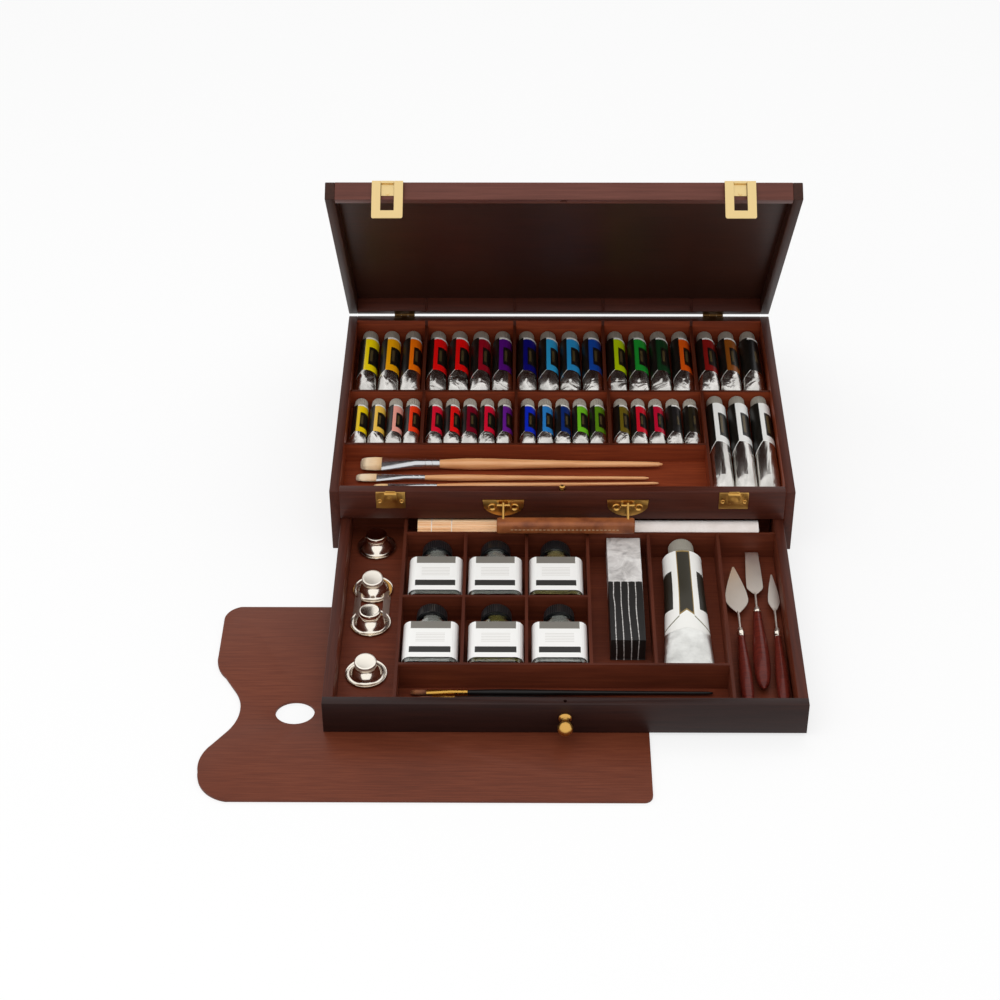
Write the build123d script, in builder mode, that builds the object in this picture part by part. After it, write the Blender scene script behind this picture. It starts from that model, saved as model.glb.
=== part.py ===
from build123d import *
import math
import os

os.makedirs("parts", exist_ok=True)

# Frame: origin at the centre of the case's underside, X to the right, Y to the back, Z up.
# The set stands as displayed: lid part open, drawer pulled out, palette on the table.

# Case and lid
box_width = 460.0
box_depth = 312.5
case_height = 73.0
lid_height = 18.0
board = 9.5
panel = 3.0
divider = 3.0
rim_gap = 0.6
lid_angle = 54.0
groove_depth = 1.5

# Hinges at the back edge
hinge_x = 169.0
hinge_width = 22.0
hinge_offset = 1.8
leaf_thick = 0.8
leaf_length = 8.5
knuckle_radius = 1.45
hinge_pin_radius = 0.8
running_gap = 0.05
knuckle_gap = 0.3

# Tray in the upper case
tray_floor_top = 44.0
tray_divider_top = 66.0
rear_divider_y = 25.0
front_divider_y = -68.0
right_divider_x = 149.0
rear_bay = 96.5
front_bay = 96.9
divider_tongue = 1.3

# Drawer
drawer_opening_top = 39.0
drawer_side_gap = 0.5
drawer_floor_gap = 0.4
drawer_top_gap = 0.6
drawer_length = 301.0
drawer_travel = 266.5
drawer_divider_drop = 2.4
mat_slot_width = 42.2
cell_length = 92.5
cell_width = 60.0
cup_column_width = 54.0
knob_ball = 7.2
knob_neck = 3.4
knob_foot = 6.0
knob_length = 21.0
knob_band = 22.5
knob_bands = 7
knob_sides = 16

# Lock pin through the case's front board
lock_pin_radius = 1.5
lock_pin_travel = 3.6
lock_head_radius = 2.75
lock_head_height = 4.2
lock_pin_rise = 0.3
hole_gap = 0.1
lock_catch_depth = 6.0

# Latches
latch_x = 169.5
hasp_width = 30.0
hasp_length = 38.0
hasp_thick = 1.0
hasp_window_width = 13.0
hasp_window_end = 30.0
hasp_stand_off = 3.2
hasp_pivot_drop = 1.0
hasp_knuckle_radius = 1.45
hasp_pin_radius = 0.7
hasp_leaf_length = 13.5
hasp_leaf_width = 12.2
hasp_stud_radius = 1.8
hasp_stud_inset = 2.6
staple_width = 29.0
staple_height = 20.0
staple_plate = 1.0
staple_boss_width = 12.0
staple_boss_height = 2.8
staple_boss_lower = 12.4
staple_tab_width = 10.0

# Handle
handle_spacing = 123.0
handle_middle_x = 3.5
plate_width = 41.0
plate_height = 19.5
plate_thick = 1.4
plate_top = 63.5
eye_stand_off = 5.9
eye_drop = 3.0
eye_bar_radius = 1.3
eye_gap = 9.0
eye_post = 2.0
ring_wire = 1.1
ring_clearance = 0.4
ring_reach = 19.0
handle_angle = 36.0
grip_length = 136.0
grip_thick = 12.6
grip_height = 12.6
grip_edge = 3.0
wire_sides = 8
ring_bends = 4
round_sides = 12
screw_head_radius = 3.4
screw_head_height = 1.6
handle_screw_spacing = 22.0
staple_screw_spacing = 21.6
staple_screw_radius = 1.9

# Paint tubes
seat_gap = 0.3
rear_tube_radius = 10.6
rear_tube_length = 112.0
rear_cap_radius = 8.7
rear_cap_length = 13.0
rear_tail_width = 22.2
rear_pitch = 23.5
front_tube_radius = 8.3
front_tube_length = 84.0
front_cap_radius = 7.2
front_cap_length = 11.0
front_tail_width = 17.6
front_pitch = 18.2
white_tube_radius = 10.8
white_tube_length = 158.0
white_cap_radius = 8.5
white_cap_length = 13.0
white_tail_width = 22.6
white_pitch = 23.1
tail_thick = 1.6
cap_taper = 0.95
tube_sides = 12
large_tube_radius = 15.2
large_tube_length = 172.0
large_cap_radius = 12.8
large_cap_length = 17.0
large_tail_width = 47.0
large_tube_x = 117.5

# Bottles
bottle_width = 52.0
bottle_thick = 29.0
bottle_body = 57.5
bottle_corner = 8.0
bottle_shoulder = 7.0
bottle_neck_radius = 12.3
bottle_neck_length = 2.0
bottle_cap_radius = 15.0
bottle_cap_length = 16.5
label_length = 50.0
label_width = 44.0
bottle_sides = 12
label_thick = 0.25

# Cups
cup_flange_radius = 19.6
cup_base_radius = 16.5
cup_height = 9.5
cup_neck_radius = 9.6
cup_cap_radius = 10.4
cup_cap_height = 8.0
clip_width = 35.0
clip_thick = 1.0
clip_slot = 21.0
cup_sides = 16

# Charcoal box
charcoal_width = 33.0
charcoal_length = 151.0
charcoal_height = 25.0
charcoal_x = 60.5

# Brush and knife sizes are given where each is made
stick_sides = 12
hair_backing = 0.8
mat_radius = 14.8
mat_length = 339.0
mat_left_x = -143.5
slat_count = 28
slat_depth = 0.7
cloth_step = 0.3

# Palette on the table
palette_thick = 3.0
palette_right_x = 77.0
palette_left_x = -329.0
palette_rear_y = -249.5
palette_front_y = -508.0
palette_corner = 8.0
rear_corner = 17.0
notch_depth = 30.0
notch_near = 83.0
notch_middle = 112.0
notch_far = 142.0
notch_foot = 9.0
thumb_x = 81.0
thumb_y = 111.0
thumb_length = 36.0
thumb_width = 30.5

# Worked out from the sizes above
half_width = box_width / 2
half_depth = box_depth / 2
inner_x = half_width - board
inner_y = half_depth - board
hinge_y = half_depth + hinge_offset
hinge_z = case_height + rim_gap / 2
lid_turn = math.radians(lid_angle)
lid_plane = Plane(origin=(0, hinge_y, hinge_z), x_dir=(1, 0, 0), z_dir=(0, math.sin(lid_turn), math.cos(lid_turn)))


def block(x0, x1, y0, y1, z0, z1):
    """A board between two corners, added to the builder that is open."""
    with Locations(((x0 + x1) / 2, (y0 + y1) / 2, (z0 + z1) / 2)):
        Box(x1 - x0, y1 - y0, z1 - z0)


def finish(builder, name):
    """Label a finished piece and write its file."""
    builder.part.label = name
    export_step(builder.part, "parts/" + name + ".step")


def long_divider(x0, x1, y, z0, z1, rear_notches, front_notches):
    """A board along X with half-deep slots in its top edge for the tongues that come from either side."""
    notch_z = z1 - (z1 - z0) / 4
    with BuildPart() as piece:
        block(x0, x1, y - divider / 2, y + divider / 2, z0, z1)
        for side, notches in ((1, rear_notches), (-1, front_notches)):
            for x in notches:
                with Locations((x, y + side * divider / 4, notch_z)):
                    Box(divider, divider / 2, (z1 - z0) / 2, mode=Mode.SUBTRACT)
    return piece


def cross_divider(x, y0, y1, z0, z1, front_tongue, rear_tongue):
    """A board along Y whose ends carry a tongue on the upper half of its height."""
    middle = (z0 + z1) / 2
    with BuildSketch(Plane.YZ.offset(x - divider / 2)) as side:
        with Locations(((y0 + y1) / 2, middle)):
            Rectangle(y1 - y0, z1 - z0)
        with Locations(((y0 - front_tongue + y1 + rear_tongue) / 2, (middle + z1) / 2)):
            Rectangle(y1 - y0 + front_tongue + rear_tongue, z1 - middle)
    extrude(side.sketch, amount=divider)


def outline(plane, half_width, half_height, sides, corner=None):
    """Corners of a round section with many flat sides. A wider one keeps the same directions and draws its long sides
    out, so the facets between two sections stay plane."""
    turn = 2 * math.pi / sides
    corner = min(half_width, half_height) if corner is None else corner
    reach = corner / math.cos(turn / 2)
    corners = []
    for i in range(sides):
        across, up = math.cos((i + 0.5) * turn), math.sin((i + 0.5) * turn)
        x = reach * across + math.copysign(half_width - corner, across)
        y = reach * up + math.copysign(half_height - corner, up)
        corners.append(plane.from_local_coords(Vector(x, y, 0)))
    return corners


def section(plane, half_width, half_height, sides):
    """The same section as a flat face."""
    return Face(Wire.make_polygon(outline(plane, half_width, half_height, sides)))


def skin(rings, closed=False):
    """A solid of flat facets between rings of equally many corners, with its ends closed, or run round in a loop."""
    faces = [] if closed else [Face(Wire.make_polygon(rings[0])), Face(Wire.make_polygon(rings[-1]))]
    steps = zip(rings, rings[1:] + rings[:1]) if closed else zip(rings, rings[1:])
    for near, far in steps:
        for i, corner in enumerate(near):
            after = (i + 1) % len(near)
            faces.append(Face(Wire.make_polygon([corner, near[after], far[after], far[i]])))
    return Solid(Shell(faces))


# Case boards
with BuildPart() as case_sides:
    block(-half_width, -inner_x, -half_depth, half_depth, 0, case_height)
    block(inner_x, half_width, -half_depth, half_depth, 0, case_height)
finish(case_sides, "case_sides")

leaf_depth = leaf_length
rear_cross = [(i - 1.5) * rear_bay for i in range(4)]
with BuildPart() as case_back:
    block(-inner_x, inner_x, inner_y, half_depth, 0, case_height)
    with Locations(*[(x, inner_y + groove_depth / 2, (tray_floor_top + case_height) / 2) for x in rear_cross]):
        Box(divider, groove_depth, case_height - tray_floor_top, mode=Mode.SUBTRACT)
    with Locations(*[(s * hinge_x, half_depth - leaf_depth / 2, case_height - leaf_thick / 2) for s in (-1, 1)]):
        Box(hinge_width, leaf_depth, leaf_thick, mode=Mode.SUBTRACT)
finish(case_back, "case_back")

lock_y = -half_depth + board / 2
sunk_depth = lock_pin_travel + 0.1
with BuildPart() as case_front:
    block(-inner_x, inner_x, -half_depth, -inner_y, drawer_opening_top, case_height)
    for floor_z, radius in ((drawer_opening_top, lock_pin_radius + hole_gap),
                            (case_height - sunk_depth, lock_head_radius + lock_pin_rise)):
        with BuildSketch(Plane.XY.offset(floor_z)):
            with Locations((0, lock_y)):
                RegularPolygon(radius, round_sides, major_radius=False)
        extrude(amount=case_height - floor_z, mode=Mode.SUBTRACT)
finish(case_front, "case_front")

with BuildPart() as case_bottom:
    block(-inner_x, inner_x, -half_depth, inner_y, 0, panel)
finish(case_bottom, "case_bottom")

with BuildPart() as tray_floor:
    block(-inner_x, inner_x, -inner_y, inner_y, tray_floor_top - panel, tray_floor_top)
finish(tray_floor, "tray_floor")

# Tray dividers, halved into one another
front_first = -143.0
front_cross = [front_first + i * front_bay for i in range(3)]
half = divider / 2
tray_divider_rear = long_divider(
    -inner_x, inner_x, rear_divider_y, tray_floor_top, tray_divider_top, rear_cross, front_cross + [right_divider_x]
)
finish(tray_divider_rear, "tray_divider_rear")

tray_divider_front = long_divider(
    -inner_x, right_divider_x - half, front_divider_y, tray_floor_top, tray_divider_top, front_cross, []
)
finish(tray_divider_front, "tray_divider_front")

with BuildPart() as tray_divider_right:
    cross_divider(right_divider_x, -inner_y, rear_divider_y - half, tray_floor_top, tray_divider_top, 0, divider_tongue)
finish(tray_divider_right, "tray_divider_right")

with BuildPart() as tray_cross_dividers:
    for x in rear_cross:
        cross_divider(x, rear_divider_y + half, inner_y + groove_depth, tray_floor_top, tray_divider_top, divider_tongue, 0)
    for x in front_cross:
        cross_divider(
            x, front_divider_y + half, rear_divider_y - half, tray_floor_top, tray_divider_top, divider_tongue,
            divider_tongue,
        )
finish(tray_cross_dividers, "tray_cross_dividers")

# Lid boards, drawn on the open lid's own plane
lid_rear = -hinge_offset
lid_front_y = lid_rear - box_depth
rim_z = rim_gap / 2
lid_top = rim_z + lid_height
with BuildPart(lid_plane) as lid_sides:
    block(-half_width, -inner_x, lid_front_y, lid_rear, rim_z, lid_top)
    block(inner_x, half_width, lid_front_y, lid_rear, rim_z, lid_top)
finish(lid_sides, "lid_sides")

with BuildPart(lid_plane) as lid_back:
    block(-inner_x, inner_x, lid_rear - board, lid_rear, rim_z, lid_top)
    with Locations(*[(x, lid_rear - board + groove_depth / 2, (rim_z + lid_top) / 2) for x in rear_cross]):
        Box(divider, groove_depth, lid_height, mode=Mode.SUBTRACT)
    with Locations(*[(s * hinge_x, lid_rear - leaf_depth / 2, rim_z + leaf_thick / 2) for s in (-1, 1)]):
        Box(hinge_width, leaf_depth, leaf_thick, mode=Mode.SUBTRACT)
finish(lid_back, "lid_back")

lock_lid_y = lid_front_y + board / 2
with BuildPart(lid_plane) as lid_front:
    block(-inner_x, inner_x, lid_front_y, lid_front_y + board, rim_z, lid_top)
    with BuildSketch(lid_plane.offset(rim_z)):
        with Locations((0, lock_lid_y)):
            RegularPolygon(lock_head_radius + lock_pin_rise * 2, round_sides, major_radius=False)
    extrude(amount=lock_catch_depth, mode=Mode.SUBTRACT)
finish(lid_front, "lid_front")

with BuildPart(lid_plane) as lid_panel:
    block(-inner_x, inner_x, lid_front_y + board, lid_rear - board, lid_top - panel, lid_top)
finish(lid_panel, "lid_panel")

# Hinges: a leaf let into each rim, knuckles behind the back edge, one pin each
knuckle = (hinge_width - 2 * knuckle_gap) / 3


def knuckle_tube(x, y, z, length, radius, bore):
    """A rolled knuckle along X."""
    with BuildSketch(Plane.YZ.offset(x - length / 2)) as ring:
        with Locations((y, z)):
            RegularPolygon(radius, round_sides)
            Circle(bore, mode=Mode.SUBTRACT)
    extrude(ring.sketch, amount=length)


outer_step = knuckle + knuckle_gap
with BuildPart() as hinge_case_leaves:
    for side in (-1, 1):
        x = side * hinge_x
        block(x - hinge_width / 2, x + hinge_width / 2, half_depth - leaf_length, half_depth,
              case_height - leaf_thick, case_height)
        for place in (-outer_step, outer_step):
            block(x + place - knuckle / 2, x + place + knuckle / 2, half_depth, hinge_y - hinge_pin_radius,
                  case_height - leaf_thick, case_height)
            knuckle_tube(x + place, hinge_y, hinge_z, knuckle, knuckle_radius, hinge_pin_radius)
finish(hinge_case_leaves, "hinge_case_leaves")

with BuildPart(lid_plane) as hinge_lid_leaves:
    for side in (-1, 1):
        x = side * hinge_x
        block(x - hinge_width / 2, x + hinge_width / 2, lid_rear - leaf_length, lid_rear, rim_z, rim_z + leaf_thick)
        block(x - knuckle / 2, x + knuckle / 2, lid_rear, -hinge_pin_radius - running_gap, rim_z, rim_z + leaf_thick)
        across_lid = Plane(lid_plane * Plane(origin=(x - knuckle / 2, 0, 0), x_dir=(0, 1, 0), z_dir=(1, 0, 0)))
        with BuildSketch(across_lid) as lid_knuckle:
            RegularPolygon(knuckle_radius, round_sides)
            RegularPolygon(hinge_pin_radius + running_gap, round_sides, major_radius=False, mode=Mode.SUBTRACT)
        extrude(lid_knuckle.sketch, amount=knuckle)
finish(hinge_lid_leaves, "hinge_lid_leaves")

with BuildPart() as hinge_pins:
    for side in (-1, 1):
        with BuildSketch(Plane.YZ.offset(side * hinge_x - hinge_width / 2)):
            with Locations((hinge_y, hinge_z)):
                Circle(hinge_pin_radius)
        extrude(amount=hinge_width)
finish(hinge_pins, "hinge_pins")

# Latches: a fixed leaf on the lid, a swinging hasp with a window, a staple on the case
pivot_y = lid_front_y - hasp_stand_off + hasp_knuckle_radius - hasp_thick / 2
pivot_z = lid_top - hasp_pivot_drop
side_bar = (hasp_width - hasp_window_width) / 2
leaf_middle = pivot_z - hasp_leaf_length / 2
with BuildPart() as hasp_leaves:
    for side in (-1, 1):
        start = side * latch_x - hasp_leaf_width / 2
        across_lid = Plane(lid_plane * Plane(origin=(start, 0, 0), x_dir=(0, 1, 0), z_dir=(1, 0, 0)))
        with BuildSketch(across_lid):
            with Locations((lid_front_y - leaf_thick / 2, leaf_middle)):
                Rectangle(leaf_thick, hasp_leaf_length)
            with Locations(((pivot_y + lid_front_y) / 2, pivot_z)):
                Rectangle(lid_front_y - pivot_y, 2 * leaf_thick)
            with Locations((pivot_y, pivot_z)):
                RegularPolygon(hasp_knuckle_radius, round_sides)
                Circle(hasp_pin_radius, mode=Mode.SUBTRACT)
        extrude(amount=hasp_leaf_width)
        stud_plane = Plane(origin=(side * latch_x, lid_front_y - leaf_thick / 2, 0), z_dir=(0, -1, 0), x_dir=(1, 0, 0))
        with BuildSketch(Plane(lid_plane * stud_plane)):
            with Locations((0, pivot_z - hasp_leaf_length + hasp_stud_inset)):
                RegularPolygon(hasp_stud_radius, round_sides)
        extrude(amount=1.2)
finish(hasp_leaves, "hasp_leaves")

with BuildPart() as hasp_pins:
    for side in (-1, 1):
        start = side * latch_x - (hasp_width - 1) / 2
        across_lid = Plane(lid_plane * Plane(origin=(start, 0, 0), x_dir=(0, 1, 0), z_dir=(1, 0, 0)))
        with BuildSketch(across_lid):
            with Locations((pivot_y, pivot_z)):
                Circle(hasp_pin_radius)
        extrude(amount=hasp_width - 1)
finish(hasp_pins, "hasp_pins")


def make_hasp(x):
    """A swinging plate with a window, rolled round the pin at both top corners."""
    hasp_plane = Plane(lid_plane * Plane(origin=(x, pivot_y, pivot_z), x_dir=(1, 0, 0), z_dir=(0, -1, 0)))
    face = hasp_knuckle_radius - hasp_thick / 2
    with BuildPart() as hasp:
        with BuildSketch(hasp_plane.offset(face)):
            with Locations((0, -hasp_length / 2)):
                RectangleRounded(hasp_width, hasp_length, 2)
            with Locations((0, -hasp_window_end / 2)):
                Rectangle(hasp_window_width, hasp_window_end, mode=Mode.SUBTRACT)
        extrude(amount=hasp_thick)
        for place in (-1, 1):
            start = place * (hasp_window_width + side_bar) / 2 - side_bar / 2
            knuckle_plane = Plane(hasp_plane * Plane(origin=(start, 0, 0), x_dir=(0, 1, 0), z_dir=(1, 0, 0)))
            with BuildSketch(knuckle_plane):
                RegularPolygon(hasp_knuckle_radius, round_sides)
            extrude(amount=side_bar)
            with BuildSketch(knuckle_plane):
                RegularPolygon(hasp_pin_radius + running_gap, round_sides, major_radius=False)
            extrude(amount=side_bar, mode=Mode.SUBTRACT)
    return hasp


for side, word in ((-1, "left"), (1, "right")):
    hasp = make_hasp(side * latch_x)
    finish(hasp, "hasp_" + word)

latch_top = case_height - 0.4
with BuildPart() as latch_staples:
    for side in (-1, 1):
        x = side * latch_x
        block(x - staple_width / 2, x + staple_width / 2, -half_depth - staple_plate, -half_depth,
              latch_top - staple_height, latch_top)
        block(x - staple_tab_width / 2, x + staple_tab_width / 2, -half_depth - staple_plate, -half_depth,
              latch_top, case_height + rim_gap)
        with BuildSketch(Plane.YZ.offset(x - staple_boss_width / 2)):
            with BuildLine():
                Polyline(
                    (-half_depth, latch_top - 0.6),
                    (-half_depth - staple_boss_height + 0.6, latch_top - 0.6),
                    (-half_depth - staple_boss_height, latch_top - 2.4),
                    (-half_depth - staple_boss_height, case_height - staple_boss_lower + 0.4),
                    (-half_depth, case_height - staple_boss_lower + 0.4),
                    close=True,
                )
            make_face()
        extrude(amount=staple_boss_width)
finish(latch_staples, "latch_staples")

# Handle plates with an eye each
plate_x = [handle_middle_x - handle_spacing / 2, handle_middle_x + handle_spacing / 2]
eye_y = -half_depth - eye_stand_off
eye_z = plate_top - eye_drop
with BuildPart() as handle_plates:
    for x in plate_x:
        with BuildSketch(Plane.XZ.offset(half_depth)):
            with BuildLine():
                top_left = (x - plate_width / 2, plate_top)
                top_right = (x + plate_width / 2, plate_top)
                low_right = (x + plate_width / 2 - 1, plate_top - plate_height * 0.5)
                low_left = (x - plate_width / 2 + 1, plate_top - plate_height * 0.5)
                Line(top_left, top_right)
                Line(top_right, low_right)
                ThreePointArc(low_right, (x, plate_top - plate_height), low_left)
                Line(low_left, top_left)
            make_face()
        extrude(amount=plate_thick)
        for place in (-1, 1):
            post = x + place * (eye_gap + eye_post) / 2
            with BuildSketch(Plane.YZ.offset(post - eye_post / 2)):
                with Locations(((eye_y - half_depth) / 2, eye_z)):
                    Rectangle(-half_depth - eye_y, 2 * eye_bar_radius)
                with Locations((eye_y, eye_z)):
                    RegularPolygon(eye_bar_radius, round_sides)
            extrude(amount=eye_post)
        with BuildSketch(Plane.YZ.offset(x - eye_gap / 2)):
            with Locations((eye_y, eye_z)):
                Circle(eye_bar_radius)
        extrude(amount=eye_gap)
finish(handle_plates, "handle_plates")

with BuildPart() as fixing_screws:
    for x in plate_x:
        for place in (-1, 1):
            with BuildSketch(Plane.XZ.offset(half_depth + plate_thick)):
                with Locations((x + place * handle_screw_spacing / 2, plate_top - plate_height * 0.45)):
                    RegularPolygon(screw_head_radius, round_sides)
            extrude(amount=screw_head_height, taper=35)
    for side in (-1, 1):
        for place in (-1, 1):
            with BuildSketch(Plane.XZ.offset(half_depth + staple_plate)):
                with Locations((side * latch_x + place * staple_screw_spacing / 2, latch_top - staple_height * 0.55)):
                    RegularPolygon(staple_screw_radius, round_sides)
            extrude(amount=screw_head_height / 4, taper=35)
finish(fixing_screws, "fixing_screws")

# Handle: two wire rings and a leather-covered grip, swinging about the eyes
handle_turn = math.radians(handle_angle)
reach_y = -math.cos(handle_turn)
reach_z = -math.sin(handle_turn)
ring_half = eye_bar_radius + ring_clearance + ring_wire


def wire_ring(x):
    """A long wire ring with eight straight sides, round the eye's bar at one end and through the grip at the other."""
    ring_plane = Plane(origin=(x, eye_y, eye_z), x_dir=(0, reach_y, reach_z), z_dir=(1, 0, 0))
    half_bend = math.pi / ring_bends / 2
    rings = []
    for middle, first in ((ring_reach, -90), (0, 90)):
        for step in range(ring_bends):
            out = math.radians(first) + (2 * step + 1) * half_bend
            corners = []
            for side in range(wire_sides):
                round_wire = (side + 0.5) * 2 * math.pi / wire_sides
                far = (ring_half + ring_wire * math.cos(round_wire)) / math.cos(half_bend)
                spot = Vector(middle + far * math.cos(out), far * math.sin(out), ring_wire * math.sin(round_wire))
                corners.append(ring_plane.from_local_coords(spot))
            rings.append(corners)
    return skin(rings, closed=True)


with BuildPart() as handle_rings:
    for x in plate_x:
        add(wire_ring(x))
finish(handle_rings, "handle_rings")

grip_y = eye_y + reach_y * (ring_reach + ring_half * 0.2)
grip_z = eye_z + reach_z * (ring_reach + ring_half * 0.2) - 0.6
with BuildPart() as handle_grip:
    grip_rings = []
    for along, inset in ((0, grip_edge * 0.8), (grip_edge, 0), (grip_length - grip_edge, 0), (grip_length, grip_edge * 0.8)):
        across_grip = Plane(origin=(handle_middle_x - grip_length / 2 + along, grip_y, grip_z), x_dir=(0, 1, 0), z_dir=(1, 0, 0))
        half_thick, half_high = grip_thick / 2 - inset, grip_height / 2 - inset
        grip_rings.append(outline(across_grip, half_thick, half_high, round_sides, grip_edge - inset / 2))
    add(skin(grip_rings))
    add(handle_rings.part, mode=Mode.SUBTRACT)
finish(handle_grip, "handle_grip")

# Lock pin, raised so that the drawer runs free
with BuildPart() as drawer_lock_pin:
    with BuildSketch(Plane.XY.offset(case_height + 0.02)):
        with Locations((0, lock_y)):
            RegularPolygon(lock_head_radius, round_sides)
    extrude(amount=lock_head_height)
    dome = drawer_lock_pin.faces().sort_by(Axis.Z)[-1].edges()
    chamfer(dome, 1.0)
    with BuildSketch(Plane.XY.offset(drawer_opening_top + lock_pin_rise)):
        with Locations((0, lock_y)):
            RegularPolygon(lock_pin_radius, round_sides)
    extrude(amount=case_height + 0.5 - drawer_opening_top - lock_pin_rise)
finish(drawer_lock_pin, "drawer_lock_pin")

# Drawer, pulled out
drawer_low = panel + drawer_floor_gap
drawer_top = drawer_opening_top - drawer_top_gap
drawer_floor = drawer_low + panel
drawer_half = inner_x - drawer_side_gap
drawer_inner = drawer_half - board
drawer_front_y = -half_depth - drawer_travel
drawer_rear_y = drawer_front_y + drawer_length
inner_front_y = drawer_front_y + board
inner_rear_y = drawer_rear_y - board
with BuildPart() as drawer_front:
    block(-drawer_half, drawer_half, drawer_front_y, inner_front_y, drawer_low, drawer_top)
    with BuildSketch(Plane.XY.offset(drawer_top - lock_catch_depth)):
        with Locations((0, drawer_front_y + board / 2)):
            RegularPolygon(lock_pin_radius + 2 * hole_gap, round_sides, major_radius=False)
    extrude(amount=lock_catch_depth, mode=Mode.SUBTRACT)
finish(drawer_front, "drawer_front")

with BuildPart() as drawer_sides:
    block(-drawer_half, -drawer_inner, inner_front_y, drawer_rear_y, drawer_low, drawer_top)
    block(drawer_inner, drawer_half, inner_front_y, drawer_rear_y, drawer_low, drawer_top)
finish(drawer_sides, "drawer_sides")

with BuildPart() as drawer_back:
    block(-drawer_inner, drawer_inner, inner_rear_y, drawer_rear_y, drawer_low, drawer_top)
finish(drawer_back, "drawer_back")

with BuildPart() as drawer_bottom:
    block(-drawer_inner, drawer_inner, inner_front_y, inner_rear_y, drawer_low, drawer_floor)
finish(drawer_bottom, "drawer_bottom")

# Drawer dividers
low = drawer_floor
high = drawer_top - drawer_divider_drop
left_x = -drawer_inner + cup_column_width + half
right_x = drawer_inner - cup_column_width - divider
cell_x = [left_x + (i + 1) * cell_width for i in range(4)]
rear_y = inner_rear_y - mat_slot_width - half
middle_y = rear_y - cell_length - divider
front_y = middle_y - cell_length - divider
drawer_divider_rear = long_divider(left_x + half, drawer_inner, rear_y, low, high, [], cell_x + [right_x])
finish(drawer_divider_rear, "drawer_divider_rear")

drawer_divider_middle = long_divider(left_x + half, cell_x[2] - half, middle_y, low, high, cell_x[:2], cell_x[:2])
finish(drawer_divider_middle, "drawer_divider_middle")

drawer_divider_front = long_divider(left_x + half, right_x - half, front_y, low, high, cell_x, [])
finish(drawer_divider_front, "drawer_divider_front")

with BuildPart() as drawer_divider_columns:
    cross_divider(left_x, inner_front_y, inner_rear_y, low, high, 0, 0)
    cross_divider(right_x, inner_front_y, rear_y - half, low, high, 0, divider_tongue)
finish(drawer_divider_columns, "drawer_divider_columns")

lap = (high - low) / 2
with BuildPart() as drawer_cross_dividers:
    for x in cell_x:
        cross_divider(x, front_y + half, rear_y - half, low, high, divider_tongue, divider_tongue)
    with Locations(*[(x, middle_y, low + lap / 2) for x in cell_x[:2]]):
        Box(divider, divider, lap, mode=Mode.SUBTRACT)
finish(drawer_cross_dividers, "drawer_cross_dividers")

# Turned knob
knob_z = (drawer_low + drawer_top) / 2 + 1
ball_y = knob_ball - knob_length
bands = [math.radians(90 - knob_band * i) for i in range(1, knob_bands)]
ball = [(knob_ball * math.cos(a), ball_y - knob_ball * math.sin(a)) for a in reversed(bands)]
knob_rings = []
for radius, place in ((knob_foot, 0), (knob_foot, -1.6), (knob_neck + 0.8, -2.8), (knob_neck, -5.6), *ball,
                      (knob_ball * 0.1, ball_y - knob_ball)):
    across_knob = Plane(origin=(0, drawer_front_y + place, knob_z), x_dir=(1, 0, 0), z_dir=(0, -1, 0))
    knob_rings.append(outline(across_knob, radius, radius, knob_sides))
with BuildPart() as drawer_knob:
    add(skin(knob_rings))
finish(drawer_knob, "drawer_knob")

# Rolled brush mat in the drawer's rear slot: bamboo slats at the left, cloth at the right
mat_y = rear_y + half + mat_radius + seat_gap
mat_z = drawer_floor + mat_radius
mat_join_x = mat_left_x + mat_length * 0.5
slat_step = 2 * math.pi / slat_count
rim = []
for slat in range(slat_count):
    for turn, reach in ((0, mat_radius - slat_depth), (0.14, mat_radius), (0.86, mat_radius)):
        angle = (slat + turn) * slat_step
        rim.append((reach * math.cos(angle), reach * math.sin(angle)))
with BuildPart() as brush_mat:
    with BuildSketch(Plane(origin=(mat_left_x, mat_y, mat_z), x_dir=(0, 1, 0), z_dir=(1, 0, 0))):
        Polygon(*rim, align=None)
    extrude(amount=mat_join_x - mat_left_x)
    with BuildSketch(Plane(origin=(mat_join_x, mat_y, mat_z), x_dir=(0, 1, 0), z_dir=(1, 0, 0))):
        RegularPolygon(mat_radius - cloth_step, slat_count)
    extrude(amount=mat_left_x + mat_length - mat_join_x)
finish(brush_mat, "brush_mat")


def tube_body(x, y, floor, radius, length, cap_radius, cap_length, tail_width):
    """A metal paint tube lying with its neck to the back, flattened to a folded tail in front."""
    axis_z = floor + radius
    neck_y = y - cap_length
    shoulder_y = neck_y - radius * 0.35
    tail_z = floor + radius * 0.55
    barrel_end = shoulder_y - (length - cap_length) * 0.32
    sizes = (
        (neck_y, axis_z, cap_radius * 0.82, cap_radius * 0.82),
        (shoulder_y, axis_z, radius, radius),
        (barrel_end, axis_z - radius * 0.04, radius * 1.02, radius * 0.96),
        (y - length, tail_z, tail_width / 2, tail_thick * 0.7),
    )
    places = []
    for station_y, station_z, across, up in sizes:
        plane = Plane(origin=(x, station_y, station_z), x_dir=(1, 0, 0), z_dir=(0, -1, 0))
        places.append(outline(plane, across, up, tube_sides))
    add(skin(places))


def tube_cap(x, y, floor, radius, cap_radius, cap_length):
    """A screw cap at the tube's rear end."""
    ends = []
    for place, wide in ((y - cap_length, cap_radius), (y, cap_radius * cap_taper)):
        ends.append(outline(Plane(origin=(x, place, floor + radius), z_dir=(0, 1, 0)), wide, wide, tube_sides))
    add(skin(ends))


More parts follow.
